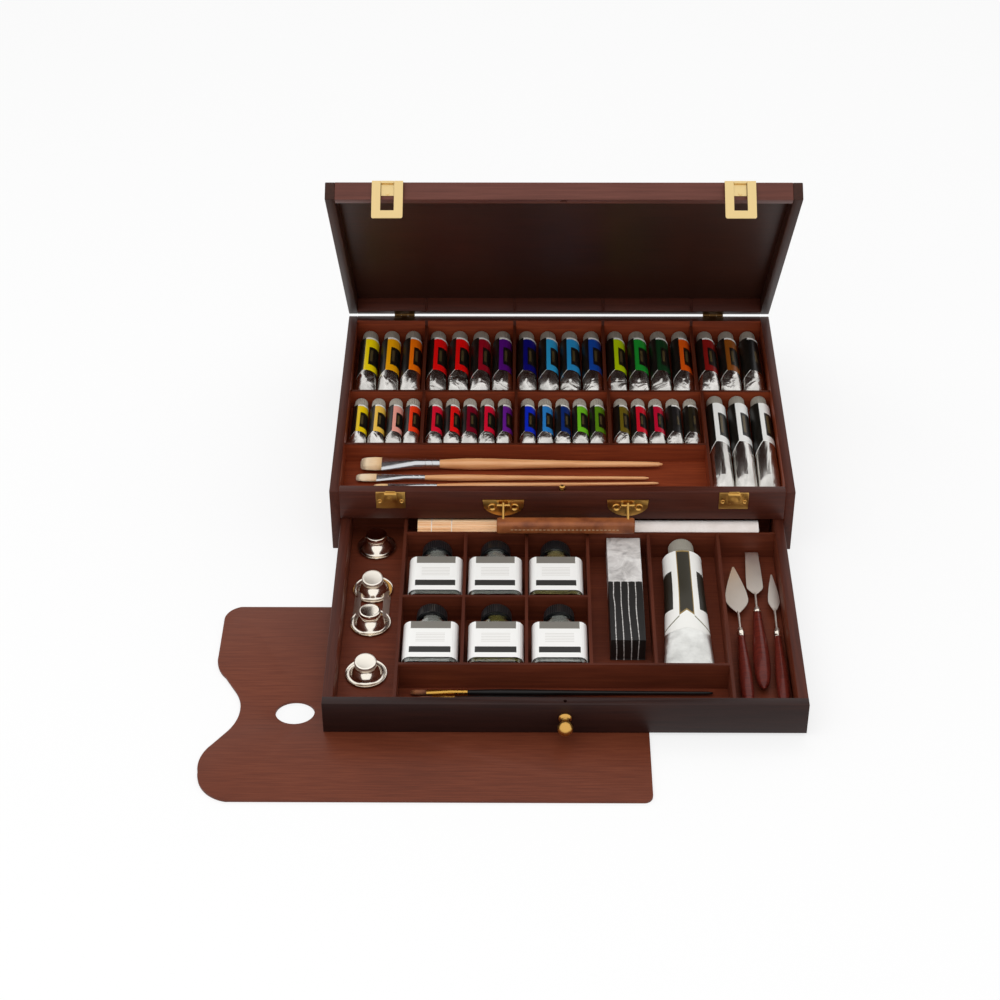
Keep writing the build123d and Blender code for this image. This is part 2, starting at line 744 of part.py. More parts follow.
tray_seat = tray_floor_top + seat_gap
rear_tube_y = inner_y - 4.5
rear_groups = (3, 4, 4, 4, 3)
rear_edges = [-inner_x] + [x for x in rear_cross] + [inner_x]
rear_tube_x = []
for bay, count in enumerate(rear_groups):
    centre = (rear_edges[bay] + rear_edges[bay + 1]) / 2
    rear_tube_x += [centre + (i - (count - 1) / 2) * rear_pitch for i in range(count)]

with BuildPart() as tubes_rear_row:
    for x in rear_tube_x:
        tube_body(x, rear_tube_y, tray_seat, rear_tube_radius, rear_tube_length, rear_cap_radius, rear_cap_length,
                  rear_tail_width)
finish(tubes_rear_row, "tubes_rear_row")

with BuildPart() as caps_rear_row:
    for x in rear_tube_x:
        tube_cap(x, rear_tube_y, tray_seat, rear_tube_radius, rear_cap_radius, rear_cap_length)
finish(caps_rear_row, "caps_rear_row")

front_tube_y = rear_divider_y - half - 2.5
front_groups = (4, 5, 5, 5)
front_edges = [-inner_x] + front_cross + [right_divider_x]
front_tube_x = []
for bay, count in enumerate(front_groups):
    centre = (front_edges[bay] + front_edges[bay + 1]) / 2
    front_tube_x += [centre + (i - (count - 1) / 2) * front_pitch for i in range(count)]

with BuildPart() as tubes_front_row:
    for x in front_tube_x:
        tube_body(x, front_tube_y, tray_seat, front_tube_radius, front_tube_length, front_cap_radius,
                  front_cap_length, front_tail_width)
finish(tubes_front_row, "tubes_front_row")

with BuildPart() as caps_front_row:
    for x in front_tube_x:
        tube_cap(x, front_tube_y, tray_seat, front_tube_radius, front_cap_radius, front_cap_length)
finish(caps_front_row, "caps_front_row")

white_centre = (right_divider_x + half + inner_x) / 2
white_x = [white_centre + i * white_pitch for i in (-1, 0, 1)]
with BuildPart() as tubes_white:
    for x in white_x:
        tube_body(x, front_tube_y, tray_seat, white_tube_radius, white_tube_length, white_cap_radius,
                  white_cap_length, white_tail_width)
finish(tubes_white, "tubes_white")

with BuildPart() as caps_white:
    for x in white_x:
        tube_cap(x, front_tube_y, tray_seat, white_tube_radius, white_cap_radius, white_cap_length)
finish(caps_white, "caps_white")

# Large tube in the drawer
drawer_seat = drawer_floor + seat_gap
large_tube_y = rear_y - half - 4.0
with BuildPart() as large_tube:
    tube_body(large_tube_x, large_tube_y, drawer_seat, large_tube_radius, large_tube_length, large_cap_radius,
              large_cap_length, large_tail_width)
finish(large_tube, "large_tube")

with BuildPart() as large_tube_cap:
    tube_cap(large_tube_x, large_tube_y, drawer_seat, large_tube_radius, large_cap_radius, large_cap_length)
finish(large_tube_cap, "large_tube_cap")

# Bottles, lying two rows of three in their cells
bottle_z = drawer_seat + label_thick + bottle_thick / 2
cell_middle = [(a + b) / 2 for a, b in zip([left_x] + cell_x[:2], cell_x[:3])]
bottle_shifts = (2.0, -0.4, -1.5, 0.0, 1.3, 1.0)
bottle_places = []
for cell_rear in (rear_y - half, middle_y - half):
    for x in cell_middle:
        bottle_places.append((x + bottle_shifts[len(bottle_places)], cell_rear - cell_length + 1.0))


def across_bottle(x, y):
    """A plane square to the bottle's length."""
    return Plane(origin=(x, y, bottle_z), x_dir=(-1, 0, 0), z_dir=(0, 1, 0))


with BuildPart() as bottle_glass:
    for x, y in bottle_places:
        shoulder_y = y + bottle_body
        neck_y = shoulder_y + bottle_shoulder
        half_bottle, half_deep = bottle_width / 2, bottle_thick / 2
        levels = (
            (y, half_bottle - 1.5, half_deep - 1.5, bottle_corner - 1),
            (y + 1.5, half_bottle, half_deep, bottle_corner),
            (shoulder_y, half_bottle, half_deep, bottle_corner),
            (shoulder_y + 1.5, half_bottle - 5, half_deep - 0.3, bottle_corner + 2),
            (neck_y, bottle_neck_radius, bottle_neck_radius, bottle_neck_radius),
            (neck_y + bottle_neck_length, bottle_neck_radius, bottle_neck_radius, bottle_neck_radius),
        )
        add(skin([outline(across_bottle(x, level), wide, deep, bottle_sides, corner) for level, wide, deep, corner in levels]))
finish(bottle_glass, "bottle_glass")

with BuildPart() as bottle_caps:
    for x, y in bottle_places:
        cap_plane = across_bottle(x, y + bottle_body + bottle_shoulder + bottle_neck_length)
        cap_top = cap_plane.offset(bottle_cap_length)
        narrow = bottle_cap_radius * cap_taper
        foot = outline(cap_plane, bottle_cap_radius, bottle_cap_radius, bottle_sides)
        add(skin([foot, outline(cap_top, narrow, narrow, bottle_sides)]))
finish(bottle_caps, "bottle_caps")

label_z = bottle_z + bottle_thick / 2
with BuildPart() as bottle_labels:
    for x, y in bottle_places:
        label_y = y + bottle_body - 1.5
        block(x - label_width / 2, x + label_width / 2, label_y - label_length, label_y, label_z, label_z + label_thick)
finish(bottle_labels, "bottle_labels")

# Box of charcoal sticks
charcoal_y = rear_y - half - 1.0
with BuildPart() as charcoal_box:
    block(charcoal_x - charcoal_width / 2, charcoal_x + charcoal_width / 2, charcoal_y - charcoal_length, charcoal_y,
          drawer_seat, drawer_seat + charcoal_height)
finish(charcoal_box, "charcoal_box")

# Oil cups with screw lids: one, a pair on a clip, one
cup_x = -185.0
cup_y = (-163.0, -229.0, -278.0, -349.5)
with BuildPart() as oil_cups:
    for y in cup_y:
        sizes = (
            (0, cup_base_radius),
            (1.0, cup_flange_radius),
            (2.0, cup_flange_radius - 0.2),
            (2.6, cup_base_radius),
            (cup_height * 0.62, cup_base_radius - 2.2),
            (cup_height, cup_neck_radius),
        )
        rounds = []
        for height, radius in sizes:
            level = Plane(origin=(cup_x, y, drawer_seat + height))
            rounds.append(outline(level, radius, radius, cup_sides))
        add(skin(rounds))
    clip_middle = (cup_y[1] + cup_y[2]) / 2
    with BuildSketch(Plane(origin=(cup_x, clip_middle, drawer_seat), x_dir=(1, 0, 0), z_dir=(0, 0, 1))):
        Rectangle(clip_width, cup_y[1] - cup_y[2])
        Rectangle(clip_slot, (cup_y[1] - cup_y[2]) * 0.5, mode=Mode.SUBTRACT)
    extrude(amount=clip_thick)
finish(oil_cups, "oil_cups")

with BuildPart() as cup_lids:
    for y in cup_y:
        level = Plane(origin=(cup_x, y, drawer_seat + cup_height))
        extrude(section(level, cup_cap_radius, cup_cap_radius, cup_sides), amount=cup_cap_height, taper=3)
finish(cup_lids, "cup_lids")


def turned(x, y, z, direction, stations):
    """A turned stick along a level direction, from (distance, radius) stations."""
    axis = Vector(*direction)
    across = Vector(0, 0, 1).cross(axis)
    rounds = []
    for distance, radius in stations:
        plane = Plane(origin=Vector(x, y, z) + axis * distance, x_dir=across, z_dir=axis)
        rounds.append(outline(plane, radius, radius, stick_sides))
    add(skin(rounds))


# Bristle brushes in the tray: (tail x, y, head x, ferrule start, handle start, head half width, handle radius, yaw)
hog_brushes = (
    (103.5, -81.5, -204.5, -182.5, -123.5, 11.2, 6.0, 0.0),
    (88.5, -101.2, -208.0, -187.0, -138.0, 6.4, 3.4, 0.0),
    (98.0, -109.0, -189.5, -175.0, -125.5, 4.6, 2.9, 1.35),
)
fine_brushes = (
    (137.5, -377.0, -142.5, -127.5, -89.5, 3.2, 3.2, 0.0),
    (130.5, -385.6, -136.0, -122.0, -101.0, 3.2, 3.2, 0.0),
)


def brush_frame(spec, seat):
    """The brush's own frame: origin at its tail, direction towards its head."""
    tail_x, y, head_x, ferrule_x, handle_x, half_head, radius, yaw = spec
    turn = math.radians(yaw)
    direction = (-math.cos(turn), -math.sin(turn), 0)
    return (tail_x, y, seat + radius), direction


def brush_handle(spec, seat):
    """Turned wooden handle, thin at the tail and swelling before the ferrule."""
    origin, direction = brush_frame(spec, seat)
    length = spec[0] - spec[4]
    radius = spec[6]
    stations = [(0, 0.7), (length * 0.02, radius * 0.28), (length * 0.1, radius * 0.45), (length * 0.45, radius * 0.66),
                (length * 0.75, radius * 0.95), (length * 0.87, radius), (length, radius * 0.74)]
    turned(*origin, direction, stations)


def brush_station(spec, seat, place):
    """A plane square to the brush at a place on its length, given by X."""
    origin, direction = brush_frame(spec, seat)
    axis = Vector(*direction)
    return Plane(origin=Vector(*origin) + axis * (spec[0] - place), x_dir=Vector(0, 0, 1).cross(axis), z_dir=axis)


def brush_ferrule(spec, seat):
    """Metal ferrule, round at the handle and pressed flat at the hair."""
    hair_x = spec[3]
    handle_x = spec[4]
    radius = spec[6]
    throat_x = handle_x + (hair_x - handle_x) * 0.45
    rounds = [
        outline(brush_station(spec, seat, handle_x), radius * 0.86, radius * 0.86, stick_sides),
        outline(brush_station(spec, seat, throat_x), radius * 0.86, radius * 0.86, stick_sides),
        outline(brush_station(spec, seat, hair_x), spec[5], radius * 0.5, stick_sides),
    ]
    add(skin(rounds))


def brush_backing(spec, seat):
    """The slice of glue in the ferrule's mouth that holds the hair."""
    mouth = brush_station(spec, seat, spec[3])
    extrude(section(mouth, spec[5] * 0.95, spec[6] * 0.46, stick_sides), amount=hair_backing)


def hair_strands(spec, seat, columns, rows, root_radius, tip_radius):
    """Tapering three-sided hairs in rows, from the ferrule's mouth to a flatter, narrower tip."""
    root = brush_station(spec, seat, spec[3])
    reach = abs(spec[2] - spec[3])
    strands = []
    for row in range(rows):
        up = (row + 0.5) / rows * 2 - 1
        spread = math.sqrt(1 - 0.8 * up * up)
        for column in range(columns):
            side = ((column + 0.5) / columns * 2 - 1) * spread
            tip_reach = reach * (1 - 0.07 * side * side - 0.03 * abs(math.sin(7.0 * column + 3.0 * row)))
            rings = []
            ends = (
                (hair_backing / 2, side * spec[5] * 0.88, up * spec[6] * 0.4, root_radius),
                (tip_reach, side * spec[5] * 0.8, up * spec[6] * 0.22, tip_radius),
            )
            for distance, across, height, radius in ends:
                turns = [math.radians(90 + 120 * i) for i in range(3)]
                corners = [(across + radius * math.cos(a), height + radius * math.sin(a), distance) for a in turns]
                rings.append([root.from_local_coords(Vector(*c)) for c in corners])
            strands.append(skin(rings))
    return strands


with BuildPart() as hog_handles:
    for spec in hog_brushes:
        brush_handle(spec, tray_seat)
finish(hog_handles, "hog_handles")

with BuildPart() as hog_ferrules:
    for spec in hog_brushes:
        brush_ferrule(spec, tray_seat)
finish(hog_ferrules, "hog_ferrules")

hog_strands = []
for spec, columns in zip(hog_brushes, (28, 20, 14)):
    hog_strands += hair_strands(spec, tray_seat, columns, 4, 0.26, 0.1)

with BuildPart() as hog_bristles:
    for spec in hog_brushes:
        brush_backing(spec, tray_seat)
    add(hog_strands, clean=False)
finish(hog_bristles, "hog_bristles")

with BuildPart() as fine_handles:
    for spec in fine_brushes:
        brush_handle(spec, drawer_seat)
finish(fine_handles, "fine_handles")

with BuildPart() as fine_ferrules:
    for spec in fine_brushes:
        brush_ferrule(spec, drawer_seat)
finish(fine_ferrules, "fine_ferrules")

fine_strands = []
for spec in fine_brushes:
    fine_strands += hair_strands(spec, drawer_seat, 8, 4, 0.2, 0.08)

with BuildPart() as fine_hairs:
    for spec in fine_brushes:
        brush_backing(spec, drawer_seat)
    add(fine_strands, clean=False)
finish(fine_hairs, "fine_hairs")

# Palette knives: tail x, tail y, neck x, neck y, blade, handle radius, shank length
# Blade: half width at the root, distance to the widest place, half width there, length, half width at the tip
knife_shank = 1.1
blade_thick = 0.9
blade_steps = 6
leaf_blade = (1.5, 20.0, 11.0, 68.0, 0.8)
trowel_blade = (1.5, 11.0, 8.0, 63.0, 6.2)
slim_blade = (1.3, 14.0, 5.6, 53.0, 0.6)
knives = (
    (168.8, -405.0, 168.6, -299.0, leaf_blade, 6.4, 29.0),
    (184.6, -376.0, 186.6, -268.5, trowel_blade, 8.0, 26.0),
    (201.6, -405.0, 203.4, -299.5, slim_blade, 6.2, 33.0),
)
knife_z = drawer_seat + 8.2


def knife_axis(knife):
    """Unit direction from the handle's tail to the blade."""
    return (Vector(knife[2], knife[3], 0) - Vector(knife[0], knife[1], 0)).normalized()


with BuildPart() as knife_blades:
    for knife in knives:
        axis = knife_axis(knife)
        start = Vector(knife[2], knife[3], knife_z)
        shank = knife[6]
        extrude(section(Plane(origin=start, z_dir=axis), 3.0, 3.0, stick_sides), amount=6.0, taper=8)
        shank_foot = Plane(origin=start + axis * 5.0, z_dir=axis)
        extrude(section(shank_foot, knife_shank, knife_shank, stick_sides), amount=shank - 3.0)
        blade_start = start + axis * shank - Vector(0, 0, blade_thick / 2)
        with BuildSketch(Plane(origin=blade_start, x_dir=axis, z_dir=(0, 0, 1))):
            root, widest, half_blade, length, tip = knife[4]
            edge = []
            for step in range(blade_steps + 1):
                swell = math.sin(step / blade_steps * math.pi / 2)
                edge.append((widest * step / blade_steps, root + (half_blade - root) * swell))
            for step in range(1, blade_steps + 1):
                ease = 1 - math.cos(step / blade_steps * math.pi / 2)
                edge.append((widest + (length - widest) * step / blade_steps, half_blade + (tip - half_blade) * ease ** 0.8))
            Polygon(*edge, *[(along, -across) for along, across in reversed(edge)], align=None)
        extrude(amount=blade_thick)
finish(knife_blades, "knife_blades")

with BuildPart() as knife_handles:
    for knife in knives:
        axis = knife_axis(knife)
        length = (Vector(knife[2], knife[3], 0) - Vector(knife[0], knife[1], 0)).length
        radius = knife[5]
        stations = [(0, 2.0), (length * 0.04, radius * 0.62), (length * 0.16, radius * 0.9), (length * 0.35, radius),
                    (length * 0.6, radius * 0.86), (length * 0.85, radius * 0.56), (length, 3.2)]
        turned(knife[0], knife[1], knife_z, (axis.X, axis.Y, axis.Z), stations)
finish(knife_handles, "knife_handles")

# Palette with a thumb hole and a brush notch at its left edge
with BuildPart() as palette:
    with BuildSketch(Plane(origin=(palette_left_x, palette_front_y, 0))):
        with BuildLine():
            length = palette_right_x - palette_left_x
            depth = palette_rear_y - palette_front_y
            corner = palette_corner
            Line((notch_foot + 19, 0), (length - corner, 0))
            RadiusArc((length - corner, 0), (length, corner), -corner)
            Line((length, corner), (length, depth))
            Line((length, depth), (rear_corner, depth))
            RadiusArc((rear_corner, depth), (2, depth - rear_corner), -rear_corner * 1.15)
            Line((2, depth - rear_corner), (2, notch_far + 45))
            ThreePointArc((2, notch_far + 45), (4, notch_far + 30), (12, notch_far + 17))
            Line((12, notch_far + 17), (notch_depth - 8, notch_far))
            ThreePointArc((notch_depth - 8, notch_far), (notch_depth, notch_middle), (19, notch_near))
            Line((19, notch_near), (notch_foot, notch_near - 14))
            ThreePointArc((notch_foot, notch_near - 14), (0.8, 54), (0, 34))
            ThreePointArc((0, 34), (7.5, 12.5), (notch_foot + 19, 0))
        make_face()
        with Locations((thumb_x, thumb_y)):
            Ellipse(thumb_length / 2, thumb_width / 2, mode=Mode.SUBTRACT)
    extrude(amount=palette_thick)
finish(palette, "palette")
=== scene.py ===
# %% [markdown]
# # Oil paint set in a stained wooden box
# The box is displayed open: the lid stands half open on two brass hinges, the drawer is pulled out, and
# the palette lies on the table. The boards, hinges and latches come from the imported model, which is
# loaded first and stays where it is. The scene gives them their finishes and adds what a plain solid
# can't show, such as printed labels, glass, hair and thread.

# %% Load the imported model
import bpy
import math
from mathutils import Matrix, Vector


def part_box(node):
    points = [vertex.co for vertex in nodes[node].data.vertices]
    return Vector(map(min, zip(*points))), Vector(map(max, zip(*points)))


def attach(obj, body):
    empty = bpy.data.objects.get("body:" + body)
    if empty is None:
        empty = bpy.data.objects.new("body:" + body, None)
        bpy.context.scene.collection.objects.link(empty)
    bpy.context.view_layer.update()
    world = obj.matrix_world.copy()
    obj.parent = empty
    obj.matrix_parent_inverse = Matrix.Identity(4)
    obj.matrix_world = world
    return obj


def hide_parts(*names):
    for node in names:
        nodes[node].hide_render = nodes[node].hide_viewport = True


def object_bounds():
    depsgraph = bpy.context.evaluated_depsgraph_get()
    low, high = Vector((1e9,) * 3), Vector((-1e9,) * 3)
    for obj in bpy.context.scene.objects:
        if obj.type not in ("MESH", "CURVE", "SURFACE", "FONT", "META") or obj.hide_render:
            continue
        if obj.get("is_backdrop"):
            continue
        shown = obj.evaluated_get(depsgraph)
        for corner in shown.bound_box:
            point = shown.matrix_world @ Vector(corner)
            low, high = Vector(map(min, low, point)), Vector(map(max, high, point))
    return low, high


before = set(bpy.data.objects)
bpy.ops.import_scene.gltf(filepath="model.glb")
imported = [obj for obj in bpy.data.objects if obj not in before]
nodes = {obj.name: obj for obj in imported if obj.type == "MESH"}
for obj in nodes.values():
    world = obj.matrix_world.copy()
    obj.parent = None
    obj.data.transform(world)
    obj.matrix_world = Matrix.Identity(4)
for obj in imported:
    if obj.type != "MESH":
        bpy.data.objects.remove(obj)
scene = bpy.context.scene
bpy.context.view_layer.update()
MM = 0.001

# %% [markdown]
# ## Camera
# The photograph looks down on the box from the front, from almost two metres away, so the lines that
# run to the back draw together only a little. The distance, tilt and lens were worked out from the
# corners of the case. A long lens far away gives the same calm perspective.

# %% Camera
YAW, PITCH, ROLL = (math.radians(angle) for angle in (-0.725, 38.28, -0.33))
SENSOR, FOCAL_RATIO = 36.0, 2.20809
STATION = Vector((-37.28, -1870.07, 1415.21))
ahead = Vector((math.sin(YAW) * math.cos(PITCH), math.cos(YAW) * math.cos(PITCH), -math.sin(PITCH)))
right = ahead.cross(Vector((0, 0, 1))).normalized()
up = right.cross(ahead)
right, up = math.cos(ROLL) * right + math.sin(ROLL) * up, -math.sin(ROLL) * right + math.cos(ROLL) * up
camera_data = bpy.data.cameras.new("camera")
camera_data.sensor_width = SENSOR
camera_data.lens = SENSOR * FOCAL_RATIO
camera_data.shift_x = -0.0024
camera_data.clip_end = 20.0
camera = bpy.data.objects.new("camera", camera_data)
camera.matrix_world = Matrix.Translation(STATION * MM) @ Matrix((right, up, -ahead)).transposed().to_4x4()
scene.collection.objects.link(camera)
scene.camera = camera
print("lens mm:", round(camera_data.lens, 2))

# %% [markdown]
# ## Colours and nodes
# Colours are picked as hex codes, as on a paint card, and a shader wants them as linear light, so one
# function turns them. Another adds a node, sets its values and links its inputs, and a few short ones name
# the nodes that come back most, which keeps every material short enough to read.

# %% Colour and node helpers
def colour(code):
    """A hex code as linear red, green, blue and alpha."""
    parts = [int(code[i:i + 2], 16) / 255 for i in (1, 3, 5)]
    return [v / 12.92 if v <= 0.04045 else ((v + 0.055) / 1.055) ** 2.4 for v in parts] + [1.0]


def fill(owner, node, **inputs):
    """Sets inputs of a node, each to a value or to the socket that feeds it."""
    for key, value in inputs.items():
        socket = node.inputs[int(key[1:]) if key[1:].isdigit() else key.replace("_", " ")]
        if isinstance(value, bpy.types.NodeSocket):
            owner.node_tree.links.new(value, socket)
        else:
            socket.default_value = value


def add_node(owner, kind, settings=None, **inputs):
    """Adds a node. Settings are its own properties, inputs are values or the sockets that feed it."""
    node = owner.node_tree.nodes.new("ShaderNode" + kind)
    for key, value in (settings or {}).items():
        setattr(node, key, value)
    fill(owner, node, **inputs)
    return node


def new_finish(name):
    """An empty material, its shader, and the object coordinates that its patterns are laid on."""
    material = bpy.data.materials.new(name)
    material.use_nodes = True
    material.node_tree.nodes.clear()
    shader = add_node(material, "BsdfPrincipled")
    add_node(material, "OutputMaterial", Surface=shader.outputs[0])
    return material, shader, add_node(material, "TexCoord").outputs["Object"]


def ramp(material, factor, *stops):
    """A colour ramp through the given (place, hex) stops."""
    node = add_node(material, "ValToRGB", Fac=factor)
    elements = node.color_ramp.elements
    while len(elements) < len(stops):
        elements.new(0.5)
    for element, (place, code) in zip(elements, stops):
        element.position = place
        element.color = colour(code)
    return node.outputs[0]


def maths(owner, kind, *values):
    """One step of arithmetic."""
    inputs = {"i" + str(count): value for count, value in enumerate(values)}
    return add_node(owner, "Math", {"operation": kind}, **inputs).outputs[0]


def noise(material, vector, scale, detail=2.0, **more):
    """Cloudy noise as a factor."""
    return add_node(material, "TexNoise", Vector=vector, Scale=scale, Detail=detail, **more).outputs[0]


def stretch(material, vector, scale):
    """Coordinates with a scale for each axis."""
    return add_node(material, "Mapping", Vector=vector, Scale=scale).outputs[0]


def mix(material, factor, first, second):
    """The first colour where the factor is 0 and the second where it is 1."""
    return add_node(material, "MixRGB", Fac=factor, Color1=first, Color2=second).outputs[0]


def relief(material, height, strength, distance):
    """A bump from a height. The distance is in metres."""
    return add_node(material, "Bump", Strength=strength, Distance=distance, Height=height).outputs[0]


print("mid brown in linear light:", [round(v, 3) for v in colour("#6b3a2a")[:3]])

# %% [markdown]
# ## Stained and varnished wood
# The boards are a close-grained hardwood, stained mahogany and rubbed to a satin varnish. The grain is
# drawn out along each board: noise that is stretched 22 times along the length gives streaks of one to
# three millimetres, and a slower noise gives lighter and darker zones. The stain has soaked into the
# pores, so the bump is slight. The insides were stained once and not rubbed down, so they stay redder;
# in the case and tray they are also painted lighter, as painted light against the shade inside the
# case. One board can carry both finishes, told apart by where the surface lies. The dividers' upper
# edges are painted darker than their sides, as painted shade. The lid's front board takes a lighter
# copy of the stain, painted light, and its sides and panel a darker copy, painted shade. The drawer
# front is a darker copy as well, painted shade.

# %% Wood finish
GRAIN_STOPS = (0.25, 0.48, 0.72)
GRAIN_STRETCH = 22.0


def stained_wood(name, tones, along="X", tilt=0.0, gloss=0.45, streak=1.6, inside=None, lining_and_shade_tones=None):
    """Varnished wood whose grain runs along an axis. Inside is an axis, a place in mm and the side it is on.
    Past that place the second tones are used: the redder lining, painted lighter in the case and tray, and
    painted shade on the dividers' upper edges.
    """
    material, shader, place = new_finish(name)
    turned = add_node(material, "Mapping", Vector=place, Rotation=(math.radians(tilt), 0, 0)).outputs[0]
    across = 1.0 / (streak * MM)
    drawn = stretch(material, turned, [across / GRAIN_STRETCH if axis == along else across for axis in "XYZ"])
    zones = maths(material, "MULTIPLY_ADD", noise(material, turned, 9.0), 0.35, 0.01)
    streaks = noise(material, drawn, 0.55, 4.0, Roughness=0.6)
    grain = maths(material, "MULTIPLY_ADD", streaks, 0.62, zones)
    tint = ramp(material, grain, *zip(GRAIN_STOPS, tones))
    # Past the zone the second tones are used: the lining, painted lighter in the case and tray, and painted shade on
    # the dividers' upper edges.
    if inside:
        axis, limit, side = inside
        where = add_node(material, "SeparateXYZ", Vector=place).outputs["XYZ".index(axis)]
        if side == 0:
            where = maths(material, "ABSOLUTE", where)
        lining_and_shade_mask = maths(material, "GREATER_THAN" if side > 0 else "LESS_THAN", where, limit * MM)
        tint = mix(material, lining_and_shade_mask, tint, ramp(material, grain, *zip(GRAIN_STOPS, lining_and_shade_tones)))
    pores = relief(material, noise(material, drawn, 2.2), 0.25, 0.0001)
    fill(material, shader, Base_Color=tint, Normal=pores, Roughness=gloss, Specular_IOR_Level=0.22,
         Coat_Weight=0.04, Coat_Roughness=0.25)
    return material


LID_ANGLE = 54.0
OUTER = ("#32150e", "#431d13", "#54271a")
# The drawer front's tones are a darker copy of the outer stain: painted shade.
DRAWER_FRONT_PAINTED_SHADE = ("#1c0e0b", "#261310", "#331a14")
# Redder lining of the case and tray, also painted lighter: painted light against the shade inside the case.
LINING_RED_AND_PAINTED_LIGHT = ("#5a2412", "#7a331b", "#944324")
# The lid's sides and panel take a darker copy of the stain: painted shade.
LID_PAINTED_SHADE = ("#26120c", "#331910", "#421f13")
# The lid's front board takes a lighter copy of the stain: painted light.
LID_PAINTED_LIGHT = ("#4c2a23", "#5d342b", "#6c3f35")
PALETTE = ("#4f2415", "#622e1c", "#723a25")
# The dividers' upper edges take these darker tones: painted shade.
EDGE = ("#381509", "#4a1e10", "#5a2817")
DRAWER_LINING = ("#471e11", "#602b1a", "#763823")
in_case = dict(tones=OUTER, lining_and_shade_tones=LINING_RED_AND_PAINTED_LIGHT)
in_drawer = dict(lining_and_shade_tones=DRAWER_LINING)
# Above their top the dividers take the darker edge tones: painted shade on their upper edges.
tray_strip = dict(gloss=0.55, lining_and_shade_tones=EDGE, inside=("Z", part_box("tray_divider_rear")[1][2] / MM - 0.2, 1))
drawer_strip = dict(gloss=0.55, lining_and_shade_tones=EDGE, inside=("Z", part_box("drawer_divider_rear")[1][2] / MM - 0.2, 1))
# The case's insides take the lining tones, painted lighter: painted light.
case_back_wood = stained_wood("stained_case_back", inside=("Y", 147.0, -1), **in_case)
case_front_wood = stained_wood("stained_case_front", inside=("Y", -147.0, 1), **in_case)
case_side_wood = stained_wood("stained_case_sides", along="Y", inside=("X", 220.7, 0), **in_case)
# The drawer front's outer face is painted darker than the case: painted shade.
drawer_front_wood = stained_wood("stained_drawer_front_painted_shade", DRAWER_FRONT_PAINTED_SHADE, inside=("Y", -413.5, 1), **in_drawer)
drawer_side_wood = stained_wood("stained_drawer_sides", OUTER, "Y", inside=("X", 210.7, 0), **in_drawer)
# The tray floor takes the lining tones, painted lighter: painted light.
inner_x = stained_wood("stained_ply_along_x_painted_light", LINING_RED_AND_PAINTED_LIGHT, gloss=0.55, streak=1.2)
drawer_ply = stained_wood("stained_drawer_ply", DRAWER_LINING, gloss=0.55, streak=1.2)
# The tray dividers take the lining tones, painted lighter as painted light. All dividers have upper edges painted
# darker, as painted shade.
tray_x = stained_wood("stained_tray_strips_painted_light_and_shade", LINING_RED_AND_PAINTED_LIGHT, **tray_strip)
tray_y = stained_wood("stained_tray_crosses_painted_light_and_shade", LINING_RED_AND_PAINTED_LIGHT, "Y", **tray_strip)
drawer_x = stained_wood("stained_drawer_strips_painted_shade_tops", DRAWER_LINING, **drawer_strip)
drawer_y = stained_wood("stained_drawer_crosses_painted_shade_tops", DRAWER_LINING, "Y", **drawer_strip)
# The lid's front board is painted lighter, as painted light, and its sides and panel darker, as painted shade.
lid_x = stained_wood("stained_lid_front_painted_light", LID_PAINTED_LIGHT, tilt=LID_ANGLE)
lid_rear = stained_wood("stained_lid_back", OUTER, tilt=LID_ANGLE)
lid_y = stained_wood("stained_lid_sides_painted_shade", LID_PAINTED_SHADE, "Y", tilt=LID_ANGLE)
lid_inside = stained_wood("stained_lid_panel_painted_shade", LID_PAINTED_SHADE, tilt=LID_ANGLE, gloss=0.4)
palette_wood = stained_wood("stained_palette", PALETTE, gloss=0.5, streak=0.9)
print("wood finishes made")

# %% [markdown]
# ## Boards with worked edges
# A sanded board has no knife edge: each long edge is broken by a fraction of a millimetre, and that thin
# strip catches the light along every rim of the box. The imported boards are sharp, so each one is copied,
# its loose triangles are merged into faces, and its sharp edges are bevelled. The copy then stands for
# the board.

# %% Soften a board
def edit(selection=None):
    """Enters edit mode, with all or nothing selected where that is asked for."""
    bpy.ops.object.mode_set(mode="EDIT")
    if selection:
        bpy.ops.mesh.select_all(action=selection)


def leave(smooth=None):
    """Leaves edit mode, and shades smooth up to an angle in degrees."""
    bpy.ops.object.mode_set(mode="OBJECT")
    if smooth:
        bpy.ops.object.shade_smooth_by_angle(angle=math.radians(smooth))


def face_out():
    """Selects everything and turns its faces outward."""
    bpy.ops.mesh.select_all(action="SELECT")
    bpy.ops.mesh.normals_make_consistent(inside=False)


def pick(*forms):
    """Selects only these forms. The first is the active one."""
    bpy.ops.object.select_all(action="DESELECT")
    for form in forms:
        form.select_set(True)
    bpy.context.view_layer.objects.active = forms[0]


def dress(piece, material, body, *replaced, slot=None):
    """Gives a piece its finish, its body and the nodes that it stands for."""
    piece.data.materials.clear()
    piece.data.materials.append(material)
    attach(piece, body)
    if replaced:
        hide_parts(*replaced)
    return piece


